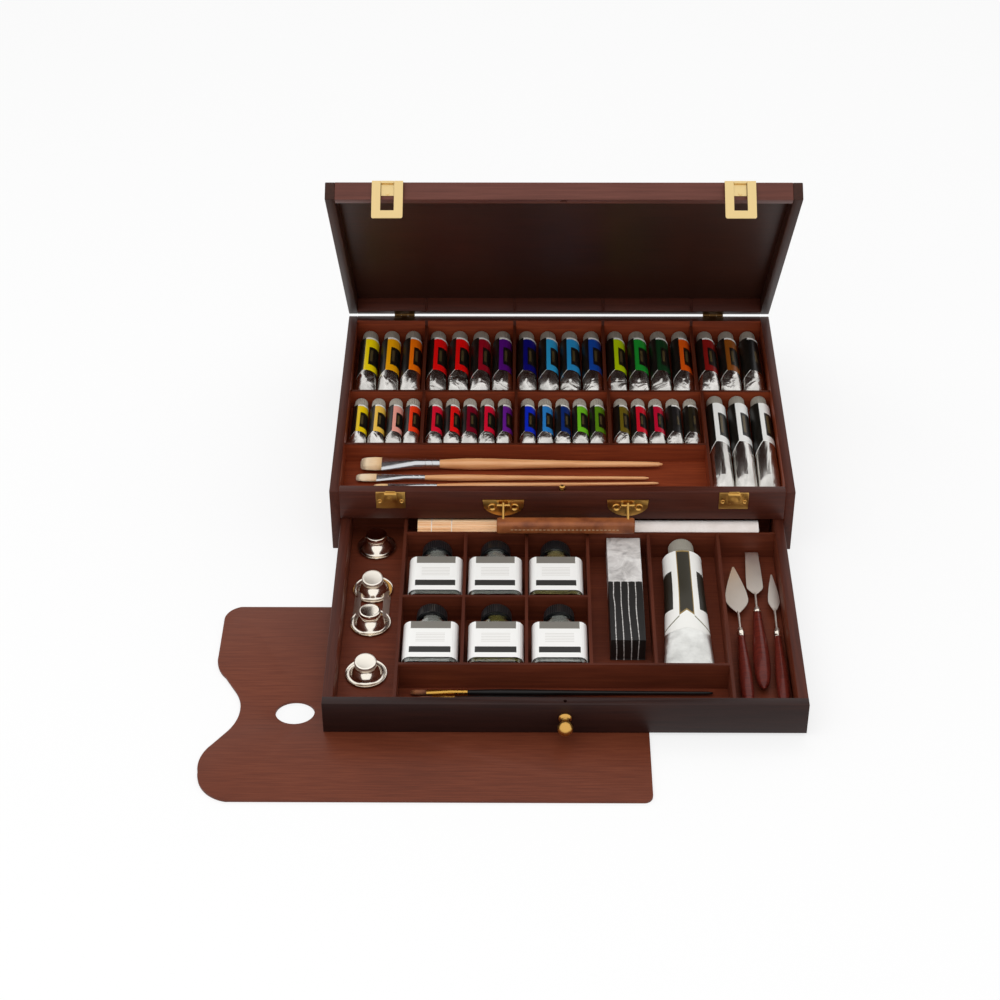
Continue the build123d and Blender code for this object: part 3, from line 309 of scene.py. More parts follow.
def softened(node_name, body, material, slot, radius=0.7, merge=True):
    """A copy of a CAD board with its sharp edges rounded, which replaces it."""
    board = nodes[node_name].copy()
    board.data = nodes[node_name].data.copy()
    board.name = node_name + "_worked"
    board.parent = None
    scene.collection.objects.link(board)
    pick(board)
    edit()
    bpy.ops.mesh.select_mode(type="EDGE")
    bpy.ops.mesh.select_all(action="SELECT")
    bpy.ops.mesh.remove_doubles(threshold=0.00001)
    if merge:
        bpy.ops.mesh.dissolve_limited(angle_limit=math.radians(1.0))
    bpy.ops.mesh.select_all(action="DESELECT")
    bpy.ops.mesh.edges_select_sharp(sharpness=math.radians(40))
    bpy.ops.mesh.bevel(offset=radius * MM, offset_type="OFFSET", segments=2, affect="EDGES", clamp_overlap=True)
    face_out()
    bpy.ops.mesh.select_mode(type="VERT")
    leave(smooth=30)
    return dress(board, material, body, node_name, slot=slot)


OUTER_BOARDS = (
    ("case_back", "case", case_back_wood), ("case_front", "case", case_front_wood),
    ("case_sides", "case", case_side_wood), ("drawer_front", "drawer", drawer_front_wood),
    ("drawer_sides", "drawer", drawer_side_wood), ("lid_front", "lid", lid_x), ("lid_back", "lid", lid_rear),
    ("lid_sides", "lid", lid_y), ("palette", "palette_board", palette_wood),
)
for name, body, material in OUTER_BOARDS:
    piece = softened(name, body, material, name.split("_")[0] + "_wood", merge=name != "palette")
    print(name, "faces:", len(piece.data.polygons))

# %% Wood on the inner boards
def finish_nodes(material, *names):
    """Gives CAD nodes one finish all over."""
    for name in names:
        nodes[name].data.materials.clear()
        nodes[name].data.materials.append(material)


finish_nodes(inner_x, "tray_floor")
finish_nodes(drawer_ply, "drawer_bottom", "drawer_back")
finish_nodes(tray_x, "tray_divider_rear", "tray_divider_front")
finish_nodes(tray_y, "tray_divider_right", "tray_cross_dividers")
finish_nodes(drawer_x, "drawer_divider_rear", "drawer_divider_middle", "drawer_divider_front")
finish_nodes(drawer_y, "drawer_divider_columns", "drawer_cross_dividers")
finish_nodes(stained_wood("stained_case_bottom", OUTER), "case_bottom")
finish_nodes(lid_inside, "lid_panel")
print("inner boards finished")

# %% [markdown]
# ## Brass hardware
# Hinges, hasps, staples, handle plates, screws, the lock pin and the knob are brass-plated steel,
# polished and lacquered. Plating is a metal, so its colour is the reflection itself; a faint uneven
# roughness keeps it from looking like a mirror.

# %% Brass finish
def plated(name, code, rough=0.2, uneven=0.12):
    """A bright plated metal with slightly uneven polish."""
    material, shader, place = new_finish(name)
    cloud = noise(material, place, 160.0)
    polish = add_node(material, "MapRange", Value=cloud, To_Min=rough, To_Max=rough + uneven)
    fill(material, shader, Base_Color=colour(code), Metallic=1.0, Roughness=polish.outputs[0])
    return material


brass = plated("plated_brass", "#d8a85a", 0.24)
pale_brass = plated("plated_pale_brass", "#ecd095", 0.3)
aged_brass = plated("darkened_brass", "#6e5230", 0.38)
steel = plated("rolled_spring_steel", "#f2eae0", 0.36)
ferrule_metal = plated("nickelled_ferrule", "#d5d6d8", 0.18)
gold_ferrule = plated("gilt_ferrule", "#d8a850", 0.22)
nickel = plated("polished_nickel", "#fbf2e4", 0.12, 0.08)
satin_nickel = plated("brushed_nickel", "#fff8ec", 0.3)
finish_nodes(brass, "hinge_pins", "handle_rings", "drawer_lock_pin", "hasp_pins")
finish_nodes(aged_brass, "hinge_case_leaves", "hinge_lid_leaves")
finish_nodes(pale_brass, "hasp_left", "hasp_right", "hasp_leaves")
finish_nodes(steel, "knife_blades")
for name in ("latch_staples", "handle_plates"):
    softened(name, "case", brass, "brass", 0.35)
print("metal finishes made")

# %% [markdown]
# ## Growing a round form
# Tubes, bottles' necks, cups, handles and the knob are all round in section. Each starts as a filled
# circle, which is extruded ring by ring along its axis and resized at every ring, as when a form is
# drawn out by hand in edit mode. The list of rings is the outline that a turner would draw.

# %% Ring helper
def grow(name, axis, rings, sides=24):
    """A closed form through rings, each given by its centre and its half sizes, in millimetres."""
    lean = {"X": (0, math.pi / 2, 0), "Y": (math.pi / 2, 0, 0), "Z": (0, 0, 0)}[axis]
    bpy.ops.mesh.primitive_circle_add(vertices=sides, radius=1.0, fill_type="NGON", rotation=lean)
    form = bpy.context.object
    form.name = name
    bpy.ops.object.transform_apply(location=False, rotation=True, scale=False)
    edit("SELECT")
    here, size = Vector((0, 0, 0)), Vector((1, 1, 1))
    for count, (centre, half) in enumerate(rings):
        centre = Vector(centre) * MM
        a, b = half[0] * MM, half[1] * MM
        half = Vector({"X": (1, a, b), "Y": (a, 1, b), "Z": (a, b, 1)}[axis])
        if count:
            bpy.ops.mesh.extrude_region_move(TRANSFORM_OT_translate={"value": centre - here})
        else:
            bpy.ops.transform.translate(value=centre - here)
        bpy.ops.transform.resize(value=[half[i] / size[i] for i in range(3)], center_override=centre)
        here, size = centre, half
    face_out()
    leave(smooth=35)
    return form


def lathe(name, axis, outline, x=0, y=0, z=0, sides=24):
    """A round form on a straight axis, from places along it and their radii."""
    rings = []
    for along, r in outline:
        centre = [x, y, z]
        centre["XYZ".index(axis)] += along
        rings.append((centre, (r, r)))
    return grow(name, axis, rings, sides)


def copy_of(form, name, offset=(0, 0, 0)):
    """A copy with a mesh of its own, moved by an offset in millimetres."""
    twin = form.copy()
    twin.data = form.data.copy()
    twin.data.transform(Matrix.Translation(Vector(offset) * MM))
    twin.name = name
    scene.collection.objects.link(twin)
    return twin


def spread(form, offsets):
    """Copies of a form at every offset. The form itself goes."""
    copies = [copy_of(form, form.name, offset) for offset in offsets]
    bpy.data.objects.remove(form)
    return copies


def about(centre, change):
    """A change of size or direction about a centre in metres."""
    return Matrix.Translation(centre) @ change @ Matrix.Translation(-centre)


def join(pieces, name):
    """Joins pieces into the first one."""
    pick(*pieces)
    if len(pieces) > 1:
        bpy.ops.object.join()
    pieces[0].name = name
    return pieces[0]


print("helpers ready")

# %% [markdown]
# ## Screws
# The plates are held by small countersunk screws with raised heads. Seen from the front, such a head is a
# bright ring round a dark hollow, where the driver goes. One head is grown from rings that rise, turn in
# and sink again, and it is copied to every hole, half as large on the latch staples.

# %% Screw heads
case_low, case_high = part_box("case_front")
case_face, case_top = case_low[1] / MM, case_high[2] / MM
HEAD_OUTLINE = [(0.3, 4.3), (-0.5, 4.3), (-1.2, 3.7), (-1.25, 3.2), (-0.4, 2.3), (0.2, 1.6), (0.3, 0.9)]
SMALL = 0.52
PAIR = (-1, 1)
head = lathe("screw_head", "Y", HEAD_OUTLINE, sides=28)
small_head = copy_of(head, "screw_head")
small_head.data.transform(Matrix.Diagonal((SMALL, SMALL, SMALL, 1)))
four = [(side, place) for side in PAIR for place in PAIR]
plate_screws = [(3.5 + side * 61.5 + place * 11.0, case_face - 1.4, 54.7) for side, place in four]
staple_screws = [(side * 169.5 + place * 10.8, case_face - 1.0, case_top - 11.4) for side, place in four]
heads = spread(head, plate_screws) + spread(small_head, staple_screws)
dress(join(heads, "screw_heads"), brass, "case", "fixing_screws", slot="brass")
print("screw heads:", len(heads))

# %% [markdown]
# ## Paint tubes
# An oil colour tube is soft aluminium, printed with a label and lacquered. The neck end is round, the
# far end is pressed flat and folded over twice. Two small rings at the shoulder give it the rolled
# edge that catches the light. A full tube stays round for most of its length and drops steeply just
# before the fold, and that short slope is what shines.

# %% Tube forms
REAR = dict(radius=10.6, length=112.0, cap=8.7, cap_length=13.0, tail=22.2, steep=15.0)
FRONT = dict(radius=8.3, length=84.0, cap=7.2, cap_length=11.0, tail=17.6, steep=13.0)
WHITE = dict(radius=10.8, length=158.0, cap=8.5, cap_length=13.0, tail=22.6, steep=16.0)
LARGE = dict(radius=15.2, length=172.0, cap=12.8, cap_length=17.0, tail=47.0, steep=75.0, swell=1.28)
TRAY_SEAT = 44.3
DRAWER_SEAT = 6.7
TAPER = 1.15


def tube_form(name, kind, rear_y, floor):
    """One tube at x 0, with its cap end at rear_y. Each ring is a Y, a height and two half sizes."""
    r, length, tail, cap = kind["radius"], kind["length"], kind["tail"] / 2, kind["cap"]
    swell = kind.get("swell", 1.0)
    mid, low = floor + r, floor + r * 0.55
    neck = rear_y - kind["cap_length"]
    shoulder = neck - r * 0.35
    barrel = shoulder - (length - kind["cap_length"]) * 0.32
    fold = rear_y - length + 6.0
    span = barrel - fold
    full, round_half = r * 1.01 * swell, r * 0.96
    rings = [
        (neck + 0.4, mid, cap * 0.8, cap * 0.8), (neck - 0.2, mid, cap * 0.84, cap * 0.84),
        (shoulder + r * 0.08, mid, r * 0.955 * swell, r * 0.955), (shoulder, mid, r * swell, r),
        (shoulder - 0.8, mid, r * 0.985 * swell, r * 0.985), (barrel, mid - r * 0.03, full, round_half),
    ]
    first = 1 - kind["steep"] / span
    slope = [(first + (1 - first) * part, drop) for part, drop in ((0.3, 0.36), (0.6, 0.64), (0.85, 0.88))]
    for part, drop in [(first * 0.5, 0.04), (first, 0.1)] + slope:
        rings.append((barrel - span * part, mid - (mid - low) * drop, full + (tail - full) * part ** TAPER,
                      round_half * (1 - drop) + 1.2 * drop))
    rings += [
        (fold, low, tail, 0.9), (fold - 0.3, low, tail, 1.7), (fold - 3.4, low, tail - 0.15, 1.6),
        (fold - 3.7, low, tail - 0.15, 1.0), (fold - 4.0, low, tail - 0.1, 1.5),
        (rear_y - length, low, tail - 0.2, 1.3),
    ]
    return grow(name, "Y", [((0, y, z), (wide, thick)) for y, z, wide, thick in rings], 28)


def half_width_at(kind, part):
    """Half the tube's width at a part of its length, in metres."""
    start, tail = kind["radius"] * kind.get("swell", 1.0), kind["tail"] / 2
    ease = min(1.0, max(0.0, (part - 0.36) / 0.58))
    return (start + (tail - start) * ease ** TAPER) * MM


def wrap_label(form, kind, rear_y, roll=0.0):
    """A UV map: U is 0.25 to 0.75 across the upper side, V runs from the cap to the tail."""
    mesh = form.data
    layer = mesh.uv_layers.new(name="label")
    body = (kind["length"] - kind["cap_length"]) * MM
    start = (rear_y - kind["cap_length"]) * MM
    for face in mesh.polygons:
        for corner in face.loop_indices:
            spot = mesh.vertices[mesh.loops[corner].vertex_index].co
            part = (start - spot.y) / body
            turn = 0.25 * max(-1.0, min(1.0, spot.x / half_width_at(kind, part)))
            if face.normal.z < -0.1:
                turn = 0.5 - turn
            layer.data[corner].uv = (0.5 + turn + roll, part)


def stain(form, code):
    """Stores one paint colour on every point."""
    for item in form.data.color_attributes.new("paint", "FLOAT_COLOR", "POINT").data:
        item.color = colour(code)


print("tube forms ready")

# %% [markdown]
# The label is printed straight on the metal: a black ground, a bracket in the paint's own colour with a
# short white band above it, plain hairlines in the panel, and bare metal below. It is drawn from the UV
# map with comparisons, so the edges stay sharp at any size. The bare foil is crumpled where it was
# squeezed in filling, which a coarse noise in the bump gives; on the long white tubes it is drawn out
# along the tube.

# %% Tube finish
def label_places(material):
    """Places across and along a label, and arithmetic in its material."""
    wrap = add_node(material, "UVMap", {"uv_map": "label"}).outputs[0]
    split = add_node(material, "SeparateXYZ", Vector=wrap).outputs

    def calc(kind, *values):
        return maths(material, kind, *values)

    return split[0], split[1], calc


def all_of(calc, test, *others):
    """1 where every test is 1."""
    for other in others:
        test = calc("MULTIPLY", test, other)
    return test


def printed_tube(name, white_end, band_end, low_start, label_end, draw=1.0):
    """Printed aluminium. The four numbers are places along V; draw below 1 draws the creases out."""
    bar_left, bar_right = 0.43, 0.535
    material, shader, place = new_finish(name)
    u, v, calc = label_places(material)
    past_bar = calc("MAXIMUM", calc("SUBTRACT", u, bar_left), 0.0)
    short_of_bar = calc("MAXIMUM", calc("SUBTRACT", bar_left, u), 0.0)
    slope = calc("ADD", calc("MULTIPLY", past_bar, 0.06), calc("MULTIPLY", short_of_bar, 0.55))
    level = calc("SUBTRACT", v, slope)
    on_bracket = calc("GREATER_THAN", u, bar_left)
    top_or_low = calc("MAXIMUM", calc("LESS_THAN", v, band_end), calc("GREATER_THAN", level, low_start))
    bracket = calc("MULTIPLY", on_bracket, calc("MAXIMUM", calc("LESS_THAN", u, bar_right), top_or_low))
    band = calc("MULTIPLY", on_bracket, calc("LESS_THAN", v, white_end))
    hem = calc("MULTIPLY", calc("LESS_THAN", u, bar_left), calc("GREATER_THAN", level, label_end - 0.012))
    white = calc("MAXIMUM", band, hem)
    printed = calc("LESS_THAN", level, label_end)
    fold = calc("PINGPONG", calc("SUBTRACT", u, bar_right + 0.05), 0.02)
    hairlines = all_of(calc, calc("COMPARE", fold, 0.01, 0.006), calc("COMPARE", u, bar_right + 0.07, 0.03),
                       calc("COMPARE", v, (band_end + low_start) / 2, 0.1))
    ink = mix(material, hairlines, colour("#12100c"), colour("#6b5a36"))
    ink = mix(material, bracket, ink, add_node(material, "VertexColor", {"layer_name": "paint"}).outputs[0])
    ink = mix(material, white, ink, colour("#efeee9"))
    drawn = stretch(material, place, (1.0, draw, 1.0))
    crease = noise(material, drawn, 60.0, 2.5, Roughness=0.5, Distortion=0.8)
    foil = ramp(material, crease, (0.3, "#c2bfba"), (0.62, "#e6e3de"))
    height = calc("MULTIPLY", crease, calc("SUBTRACT", 1.08, printed))
    fill(material, shader, Base_Color=mix(material, printed, foil, ink), Metallic=calc("SUBTRACT", 1.0, printed),
         Roughness=calc("MULTIPLY_ADD", printed, 0.12, 0.26), Normal=relief(material, height, 0.6, 0.004))
    return material


rear_print = printed_tube("printed_aluminium_rear", 0.065, 0.215, 0.53, 0.635)
front_print = printed_tube("printed_aluminium_front", 0.07, 0.22, 0.55, 0.655)
white_print = printed_tube("printed_aluminium_white", 0.03, 0.14, 0.4, 0.475, 0.25)
print("printed tubes ready")

# %% Rear row of tubes
HALF_INSIDE = 220.5
REAR_Y, FRONT_Y = 142.25, 21.0
rear_edges = [-HALF_INSIDE] + [(i - 1.5) * 96.5 for i in range(4)] + [HALF_INSIDE]
rear_paints = ["#ffe000", "#ffb000", "#ff7800", "#f80a0a", "#f80808", "#a00820", "#5a0a80", "#0a0a78", "#30a8e0",
               "#2a9ad8", "#1048a8", "#c0d800", "#1a9a30", "#103a1c", "#e85a0a", "#8a1410", "#8a4a10", "#0c0b0a"]


def row_places(edges, counts, pitch):
    """Middles of the tubes in each bay."""
    places = []
    for bay, count in enumerate(counts):
        centre = (edges[bay] + edges[bay + 1]) / 2
        places += [centre + (i - (count - 1) / 2) * pitch for i in range(count)]
    return places


def lay_tubes(name, kind, places, paints, rear_y, material, body, node):
    """Models one tube, copies it to each place with its own roll and paint, and joins the row."""
    row = spread(tube_form(name, kind, rear_y, TRAY_SEAT), [(0, 0, 0)] * len(places))
    for count, (tube, x, code) in enumerate(zip(row, places, paints)):
        wrap_label(tube, kind, rear_y, roll=0.022 * math.sin(2.1 * count + 0.6))
        stain(tube, code)
        tube.data.transform(Matrix.Translation((x * MM, 0, 0)))
    return dress(join(row, name), material, body, node, slot="tube_metal")


rear_x = row_places(rear_edges, (3, 4, 4, 4, 3), 23.5)
rear_tubes = lay_tubes("rear_tubes", REAR, rear_x, rear_paints, REAR_Y, rear_print, "tubes_rear", "tubes_rear_row")
print("rear tubes:", len(rear_x), "faces:", len(rear_tubes.data.polygons))

# %% Front row of tubes
front_edges = [-HALF_INSIDE] + [-143.0 + i * 96.9 for i in range(3)] + [149.0]
front_paints = ["#f5cf00", "#f3c24a", "#f0a090", "#f03a10", "#e01030", "#e81010", "#78001c", "#d80a30", "#6a1a90",
                "#0a2ac8", "#2a80c8", "#0a2a70", "#70c020", "#5a8a10", "#6a5a10", "#d01028", "#c00830", "#1c1a1a",
                "#241f12"]
front_x = row_places(front_edges, (4, 5, 5, 5), 18.2)
lay_tubes("front_tubes", FRONT, front_x, front_paints, FRONT_Y, front_print, "tubes_front", "tubes_front_row")
print("front tubes:", len(front_x))

# %% White tubes
white_x = [(150.5 + HALF_INSIDE) / 2 + i * 23.1 for i in (-1, 0, 1)]
lay_tubes("white_tubes", WHITE, white_x, ["#f2f2ee"] * 3, FRONT_Y, white_print, "tubes_large_white", "tubes_white")
print("white tubes:", len(white_x))

# %% [markdown]
# ## Screw caps
# The caps are grey moulded polyethylene with ribs for the fingers. A ring of many sides is extruded, and
# every other upright edge is drawn in a little, which leaves ribs all round.

# %% Cap finish and forms
def moulded(name, code, rough=0.45):
    """Moulded plastic with a fine grain."""
    material, shader, place = new_finish(name)
    dark = [v * 0.8 for v in colour(code)[:3]] + [1.0]
    tint = mix(material, noise(material, place, 60.0), dark, colour(code))
    grain = relief(material, noise(material, place, 900.0, 1.0), 0.15, 0.0001)
    fill(material, shader, Base_Color=tint, Normal=grain, Roughness=rough)
    return material


grey_cap = moulded("grey_polyethylene", "#a8a498", 0.4)
pale_cap = moulded("pale_grey_polyethylene", "#c4bfb2", 0.4)
black_cap = moulded("black_phenolic", "#17181a", 0.32)


def ribbed_cap(name, rear_y, mid, radius, length, ribs, depth=0.5):
    """A cap whose axis runs along Y at x 0."""
    face = rear_y - length
    outline = [(face, radius), (face + 1.2, radius), (rear_y - 1.6, radius * 0.975), (rear_y - 0.4, radius * 0.93),
               (rear_y, radius * 0.86)]
    cap = lathe(name, "Y", outline, z=mid, sides=ribs * 2)
    edit("DESELECT")
    leave()
    for point in cap.data.vertices:
        turn = math.atan2(point.co.z - mid * MM, point.co.x) / (2 * math.pi) * ribs * 2
        point.select = round(turn) % 2 == 0 and (face + 0.5) * MM < point.co.y < (rear_y - 0.2) * MM
    edit()
    small = (radius - depth) / radius
    bpy.ops.transform.resize(value=(small, 1, small), center_override=(0, 0, mid * MM))
    leave(smooth=25)
    return cap


def cap_row(name, kind, places, rear_y, ribs, body, node, depth=0.5, plastic=grey_cap):
    """One cap copied to every tube of a row."""
    cap = ribbed_cap(name, rear_y, TRAY_SEAT + kind["radius"], kind["cap"], kind["cap_length"], ribs, depth)
    dress(join(spread(cap, [(x, 0, 0) for x in places]), name), plastic, body, node, slot="cap_plastic")


cap_row("rear_caps", REAR, rear_x, REAR_Y, 28, "tubes_rear", "caps_rear_row")
cap_row("front_caps", FRONT, front_x, FRONT_Y, 20, "tubes_front", "caps_front_row", 0.9, pale_cap)
cap_row("white_caps", WHITE, white_x, FRONT_Y, 28, "tubes_large_white", "caps_white")
print("caps made")

# %% [markdown]
# ## The large tube
# It is made as the others are, with a white label that carries dark panels down its middle and sides and
# a pale chevron at its lower end.

# %% Large tube
LARGE_X = 117.5
LARGE_Y = -180.45


def large_print():
    """White enamel with a dark central panel."""
    material, shader, place = new_finish("printed_aluminium_large")
    u, v, calc = label_places(material)
    aside = calc("ABSOLUTE", calc("SUBTRACT", u, 0.5))
    level = calc("SUBTRACT", v, calc("MULTIPLY", aside, 0.4))
    dark = all_of(calc, calc("LESS_THAN", aside, 0.076), calc("LESS_THAN", level, 0.55),
                  calc("GREATER_THAN", v, 0.045))
    rim = all_of(calc, calc("LESS_THAN", aside, 0.086), calc("LESS_THAN", level, 0.562),
                 calc("GREATER_THAN", v, 0.03))
    sides = all_of(calc, calc("GREATER_THAN", aside, 0.155), calc("LESS_THAN", v, 0.545),
                   calc("GREATER_THAN", v, 0.21))
    vee = calc("SUBTRACT", v, calc("MULTIPLY", aside, 0.55))
    chevron = all_of(calc, calc("COMPARE", vee, 0.555, 0.005), calc("GREATER_THAN", aside, 0.086))
    printed = calc("LESS_THAN", calc("SUBTRACT", v, calc("MULTIPLY", aside, 0.12)), 0.69)
    ink = colour("#ecebe6")
    for shape, code in ((chevron, "#6c6b52"), (rim, "#8c7440"), (dark, "#2b271b"), (sides, "#1f1b13")):
        ink = mix(material, shape, ink, colour(code))
    crease = noise(material, place, 70.0, 3.0)
    foil = ramp(material, crease, (0.3, "#dcdcd8"), (0.62, "#f4f4f0"))
    height = calc("MULTIPLY", crease, calc("SUBTRACT", 1.06, printed))
    fill(material, shader, Base_Color=mix(material, printed, foil, ink), Metallic=calc("SUBTRACT", 1.0, printed),
         Roughness=0.45, Normal=relief(material, height, 0.8, 0.002))
    return material


big = tube_form("large_paint_tube", LARGE, LARGE_Y, DRAWER_SEAT)
wrap_label(big, LARGE, LARGE_Y)
big_cap = ribbed_cap("large_cap", LARGE_Y, DRAWER_SEAT + LARGE["radius"], LARGE["cap"], LARGE["cap_length"], 40)
for form in (big, big_cap):
    form.data.transform(Matrix.Translation((LARGE_X * MM, 0, 0)))
dress(big, large_print(), "large_white_tube", "large_tube", slot="tube_metal")
dress(big_cap, grey_cap, "large_white_tube", "large_tube_cap", slot="cap_plastic")
print("large tube made")

# %% [markdown]
# ## Bottles
# Each bottle is pressed glass with flat sides and round shoulders, half hidden by a paper label. The body
# starts as a cube whose long edges are bevelled in several steps, then its rear face is extruded three
# times and drawn in. A second, smaller form turned inside out leaves a wall of real thickness, so light
# bends in the glass as it should, and the medium inside is a form of its own just clear of the wall.

# %% Bottle forms
def box_form(name, low, high, bevel, segments=5, axis=1):
    """A cube set between two corners whose edges along one axis are rounded."""
    size = [(b - a) * MM for a, b in zip(low, high)]
    middle = [(a + b) / 2 * MM for a, b in zip(low, high)]
    bpy.ops.mesh.primitive_cube_add(size=1.0, location=middle, scale=size)
    form = bpy.context.object
    form.name = name
    bpy.ops.object.transform_apply(location=True, rotation=True, scale=True)
    edit()
    bpy.ops.mesh.select_mode(type="EDGE")
    bpy.ops.mesh.select_all(action="DESELECT")
    leave()
    for edge in form.data.edges:
        a, b = (form.data.vertices[i].co for i in edge.vertices)
        edge.select = abs((b - a)[axis]) > 0.9 * (b - a).length
    edit()
    bpy.ops.mesh.bevel(offset=bevel * MM, offset_type="OFFSET", segments=segments, affect="EDGES")
    bpy.ops.mesh.select_mode(type="VERT")
    leave()
    return form


def pick_faces(form, test):
    """Selects the faces whose centre and normal pass a test, and enters edit mode."""
    pick(form)
    edit()
    bpy.ops.mesh.select_mode(type="FACE")
    bpy.ops.mesh.select_all(action="DESELECT")
    leave()
    for face in form.data.polygons:
        face.select = bool(test(face))
    edit()


def glass(name, tint, rough=0.02, clear=1.0):
    """Pressed glass or a liquid. Clear below 1 turns the remaining share into a pale diffuse surface: painted light
    that stands in for the light carried inside the bottle.
    """
    material, shader, place = new_finish(name)
    fill(material, shader, Base_Color=colour(tint), Roughness=rough, IOR=1.5, Transmission_Weight=clear,
         Normal=relief(material, noise(material, place, 45.0), 0.08, 0.0008))
    return material


BOTTLE = dict(width=52.0, thick=29.0, body=57.5, shoulder=10.5, neck=12.3, neck_length=2.0, cap=15.0,
              cap_length=13.0)
BOTTLE_SHIFTS = (2.0, -0.4, -1.5, 0.0, 1.3, 1.0)
LEFT_X, CELL, REAR_DIVIDER_Y, CELL_LENGTH = -155.0, 60.0, -174.95, 92.5
WALL = 1.8
bottle_mid_z = DRAWER_SEAT + 0.25 + BOTTLE["thick"] / 2
columns = [LEFT_X + CELL / 2 + i * CELL for i in range(3)]
rows = [REAR_DIVIDER_Y - 1.5 - CELL_LENGTH + 1.0, REAR_DIVIDER_Y - 3.0 - 1.5 - 2 * CELL_LENGTH + 1.0]
print("bottle columns:", columns, "rows:", [round(v, 2) for v in rows])


def bottle_form(name, shrink):
    """A bottle with its base at y 0 and x 0, made smaller all round by shrink."""
    w, t = BOTTLE["width"] / 2 - shrink, BOTTLE["thick"] / 2 - shrink
    low = (-w, shrink, bottle_mid_z - t)
    high = (w, BOTTLE["body"] - shrink - 5.0, bottle_mid_z + t)
    form = box_form(name, low, high, 8.0 - shrink * 0.8)
    for inset, rise in ((1.6, 2.6), (2.4, 1.9), (3.4, 1.2)):
        top = max(face.center.y for face in form.data.polygons) - 1e-6
        pick_faces(form, lambda face: face.normal.y > 0.9 and face.center.y > top)
        bpy.ops.mesh.extrude_region_move(TRANSFORM_OT_translate={"value": (0, rise * MM, 0)})
        w2, t2 = w - inset, t - inset * 0.5
        bpy.ops.transform.resize(value=(w2 / w, 1, t2 / t), center_override=(0, 0, bottle_mid_z * MM))
        w, t = w2, t2
        leave()
    return form


def neck_form(name, shrink):
    """The round shoulder and neck between the body and the cap."""
    top, r, shoulder = BOTTLE["body"], BOTTLE["neck"], BOTTLE["shoulder"]
    outline = [(-2.5, 17.8, 12.8), (0.5, 17.6, 13.2), (4.0, 16.8, 13.4), (7.5, 15.2, 13.0), (shoulder, r, r),
               (shoulder + BOTTLE["neck_length"] - shrink * 0.3, r, r)]
    return grow(name, "Y", [((0, top + y, bottle_mid_z), (a - shrink, b - shrink)) for y, a, b in outline], 32)


def fuse(first, second):
    """Boolean union of two closed forms."""
    pick(first)
    modifier = first.modifiers.new("fuse", "BOOLEAN")
    modifier.operation = "UNION"
    modifier.solver = "EXACT"
    modifier.object = second
    bpy.ops.object.modifier_apply(modifier="fuse")
    bpy.data.objects.remove(second)
    bpy.ops.object.shade_smooth_by_angle(angle=math.radians(32))
    return first


outer = fuse(bottle_form("bottle_outer", 0.0), neck_form("neck_outer", 0.0))
inner = fuse(bottle_form("bottle_inner", WALL), neck_form("neck_inner", WALL))
print("bottle faces:", len(outer.data.polygons))

# %% Glass shells and their contents
def shell(offset):
    """The wall between the outer and the inner form, as one mesh."""
    wall, hollow = copy_of(outer, "bottle_shell", offset), copy_of(inner, "hollow", offset)
    hollow.data.flip_normals()
    return join([wall, hollow], "bottle_shell")


MEDIA = {"clear": "#f2f1ec", "straw": "#dccb86", "olive": "#b0a455"}
IN_BOTTLES = ("clear", "clear", "straw", "clear", "olive", "clear")
clear_of_wall = Matrix.Diagonal((0.985, 0.985, 0.985, 1))
places = [(x, y) for y in rows for x in columns]
spots = [(x + shift, y, 0) for (x, y), shift in zip(places, BOTTLE_SHIFTS)]
clear_glass = glass("pressed_glass", "#f4f7f4")
shells = [shell(spot) for spot in spots]
dress(join(shells, "bottle_shells"), clear_glass, "bottles", "bottle_glass", slot="bottle_glass")
for kind, tint in MEDIA.items():
    filled = []
    for wanted, (x, y, z) in zip(IN_BOTTLES, spots):
        if wanted == kind:
            drop = copy_of(inner, "medium", (x, y, z))
            drop.data.transform(about(Vector((x, y + 30, bottle_mid_z)) * MM, clear_of_wall))
            filled.append(drop)
    # Each medium is 0.28 pale diffuse surface: painted light for the light carried inside the bottle, over the
    # liquid's own tint.
    medium = glass(kind + "_medium", tint, 0.05, 0.72)
    dress(join(filled, "medium_" + kind), medium, "bottles", slot="bottle_glass")
bpy.data.objects.remove(outer)
bpy.data.objects.remove(inner)
print("bottles:", len(spots))

# %% [markdown]
# The bottle's label is paper glued round the body. It is printed white, with a grey band at the top, a
# few faint rules and a dark bar low down. One label is a strip that follows the rounded sides, copied six
# times.

# %% Bottle labels
def label_paper():
    """Coated paper with printed bands and faint rules, measured from each bottle's own label."""
    material, shader, place = new_finish("coated_label_paper")
    u, v, calc = label_places(material)
    across = calc("ABSOLUTE", calc("SUBTRACT", u, 0.5))
    top = all_of(calc, calc("LESS_THAN", v, 0.2), calc("LESS_THAN", across, 0.36))
    bar = all_of(calc, calc("COMPARE", v, 0.79, 0.082), calc("LESS_THAN", across, 0.37))
    rule = all_of(calc, calc("COMPARE", calc("PINGPONG", v, 0.045), 0.0225, 0.006),
                  calc("COMPARE", v, 0.46, 0.13), calc("LESS_THAN", across, 0.26))
    ink = colour("#f2f1ee")
    for shape, code in ((top, "#77736c"), (rule, "#cfccc6"), (bar, "#2b2a28")):
        ink = mix(material, shape, ink, colour(code))
    fill(material, shader, Base_Color=ink, Roughness=0.45,
         Normal=relief(material, noise(material, place, 700.0), 0.1, 0.00005))
    return material


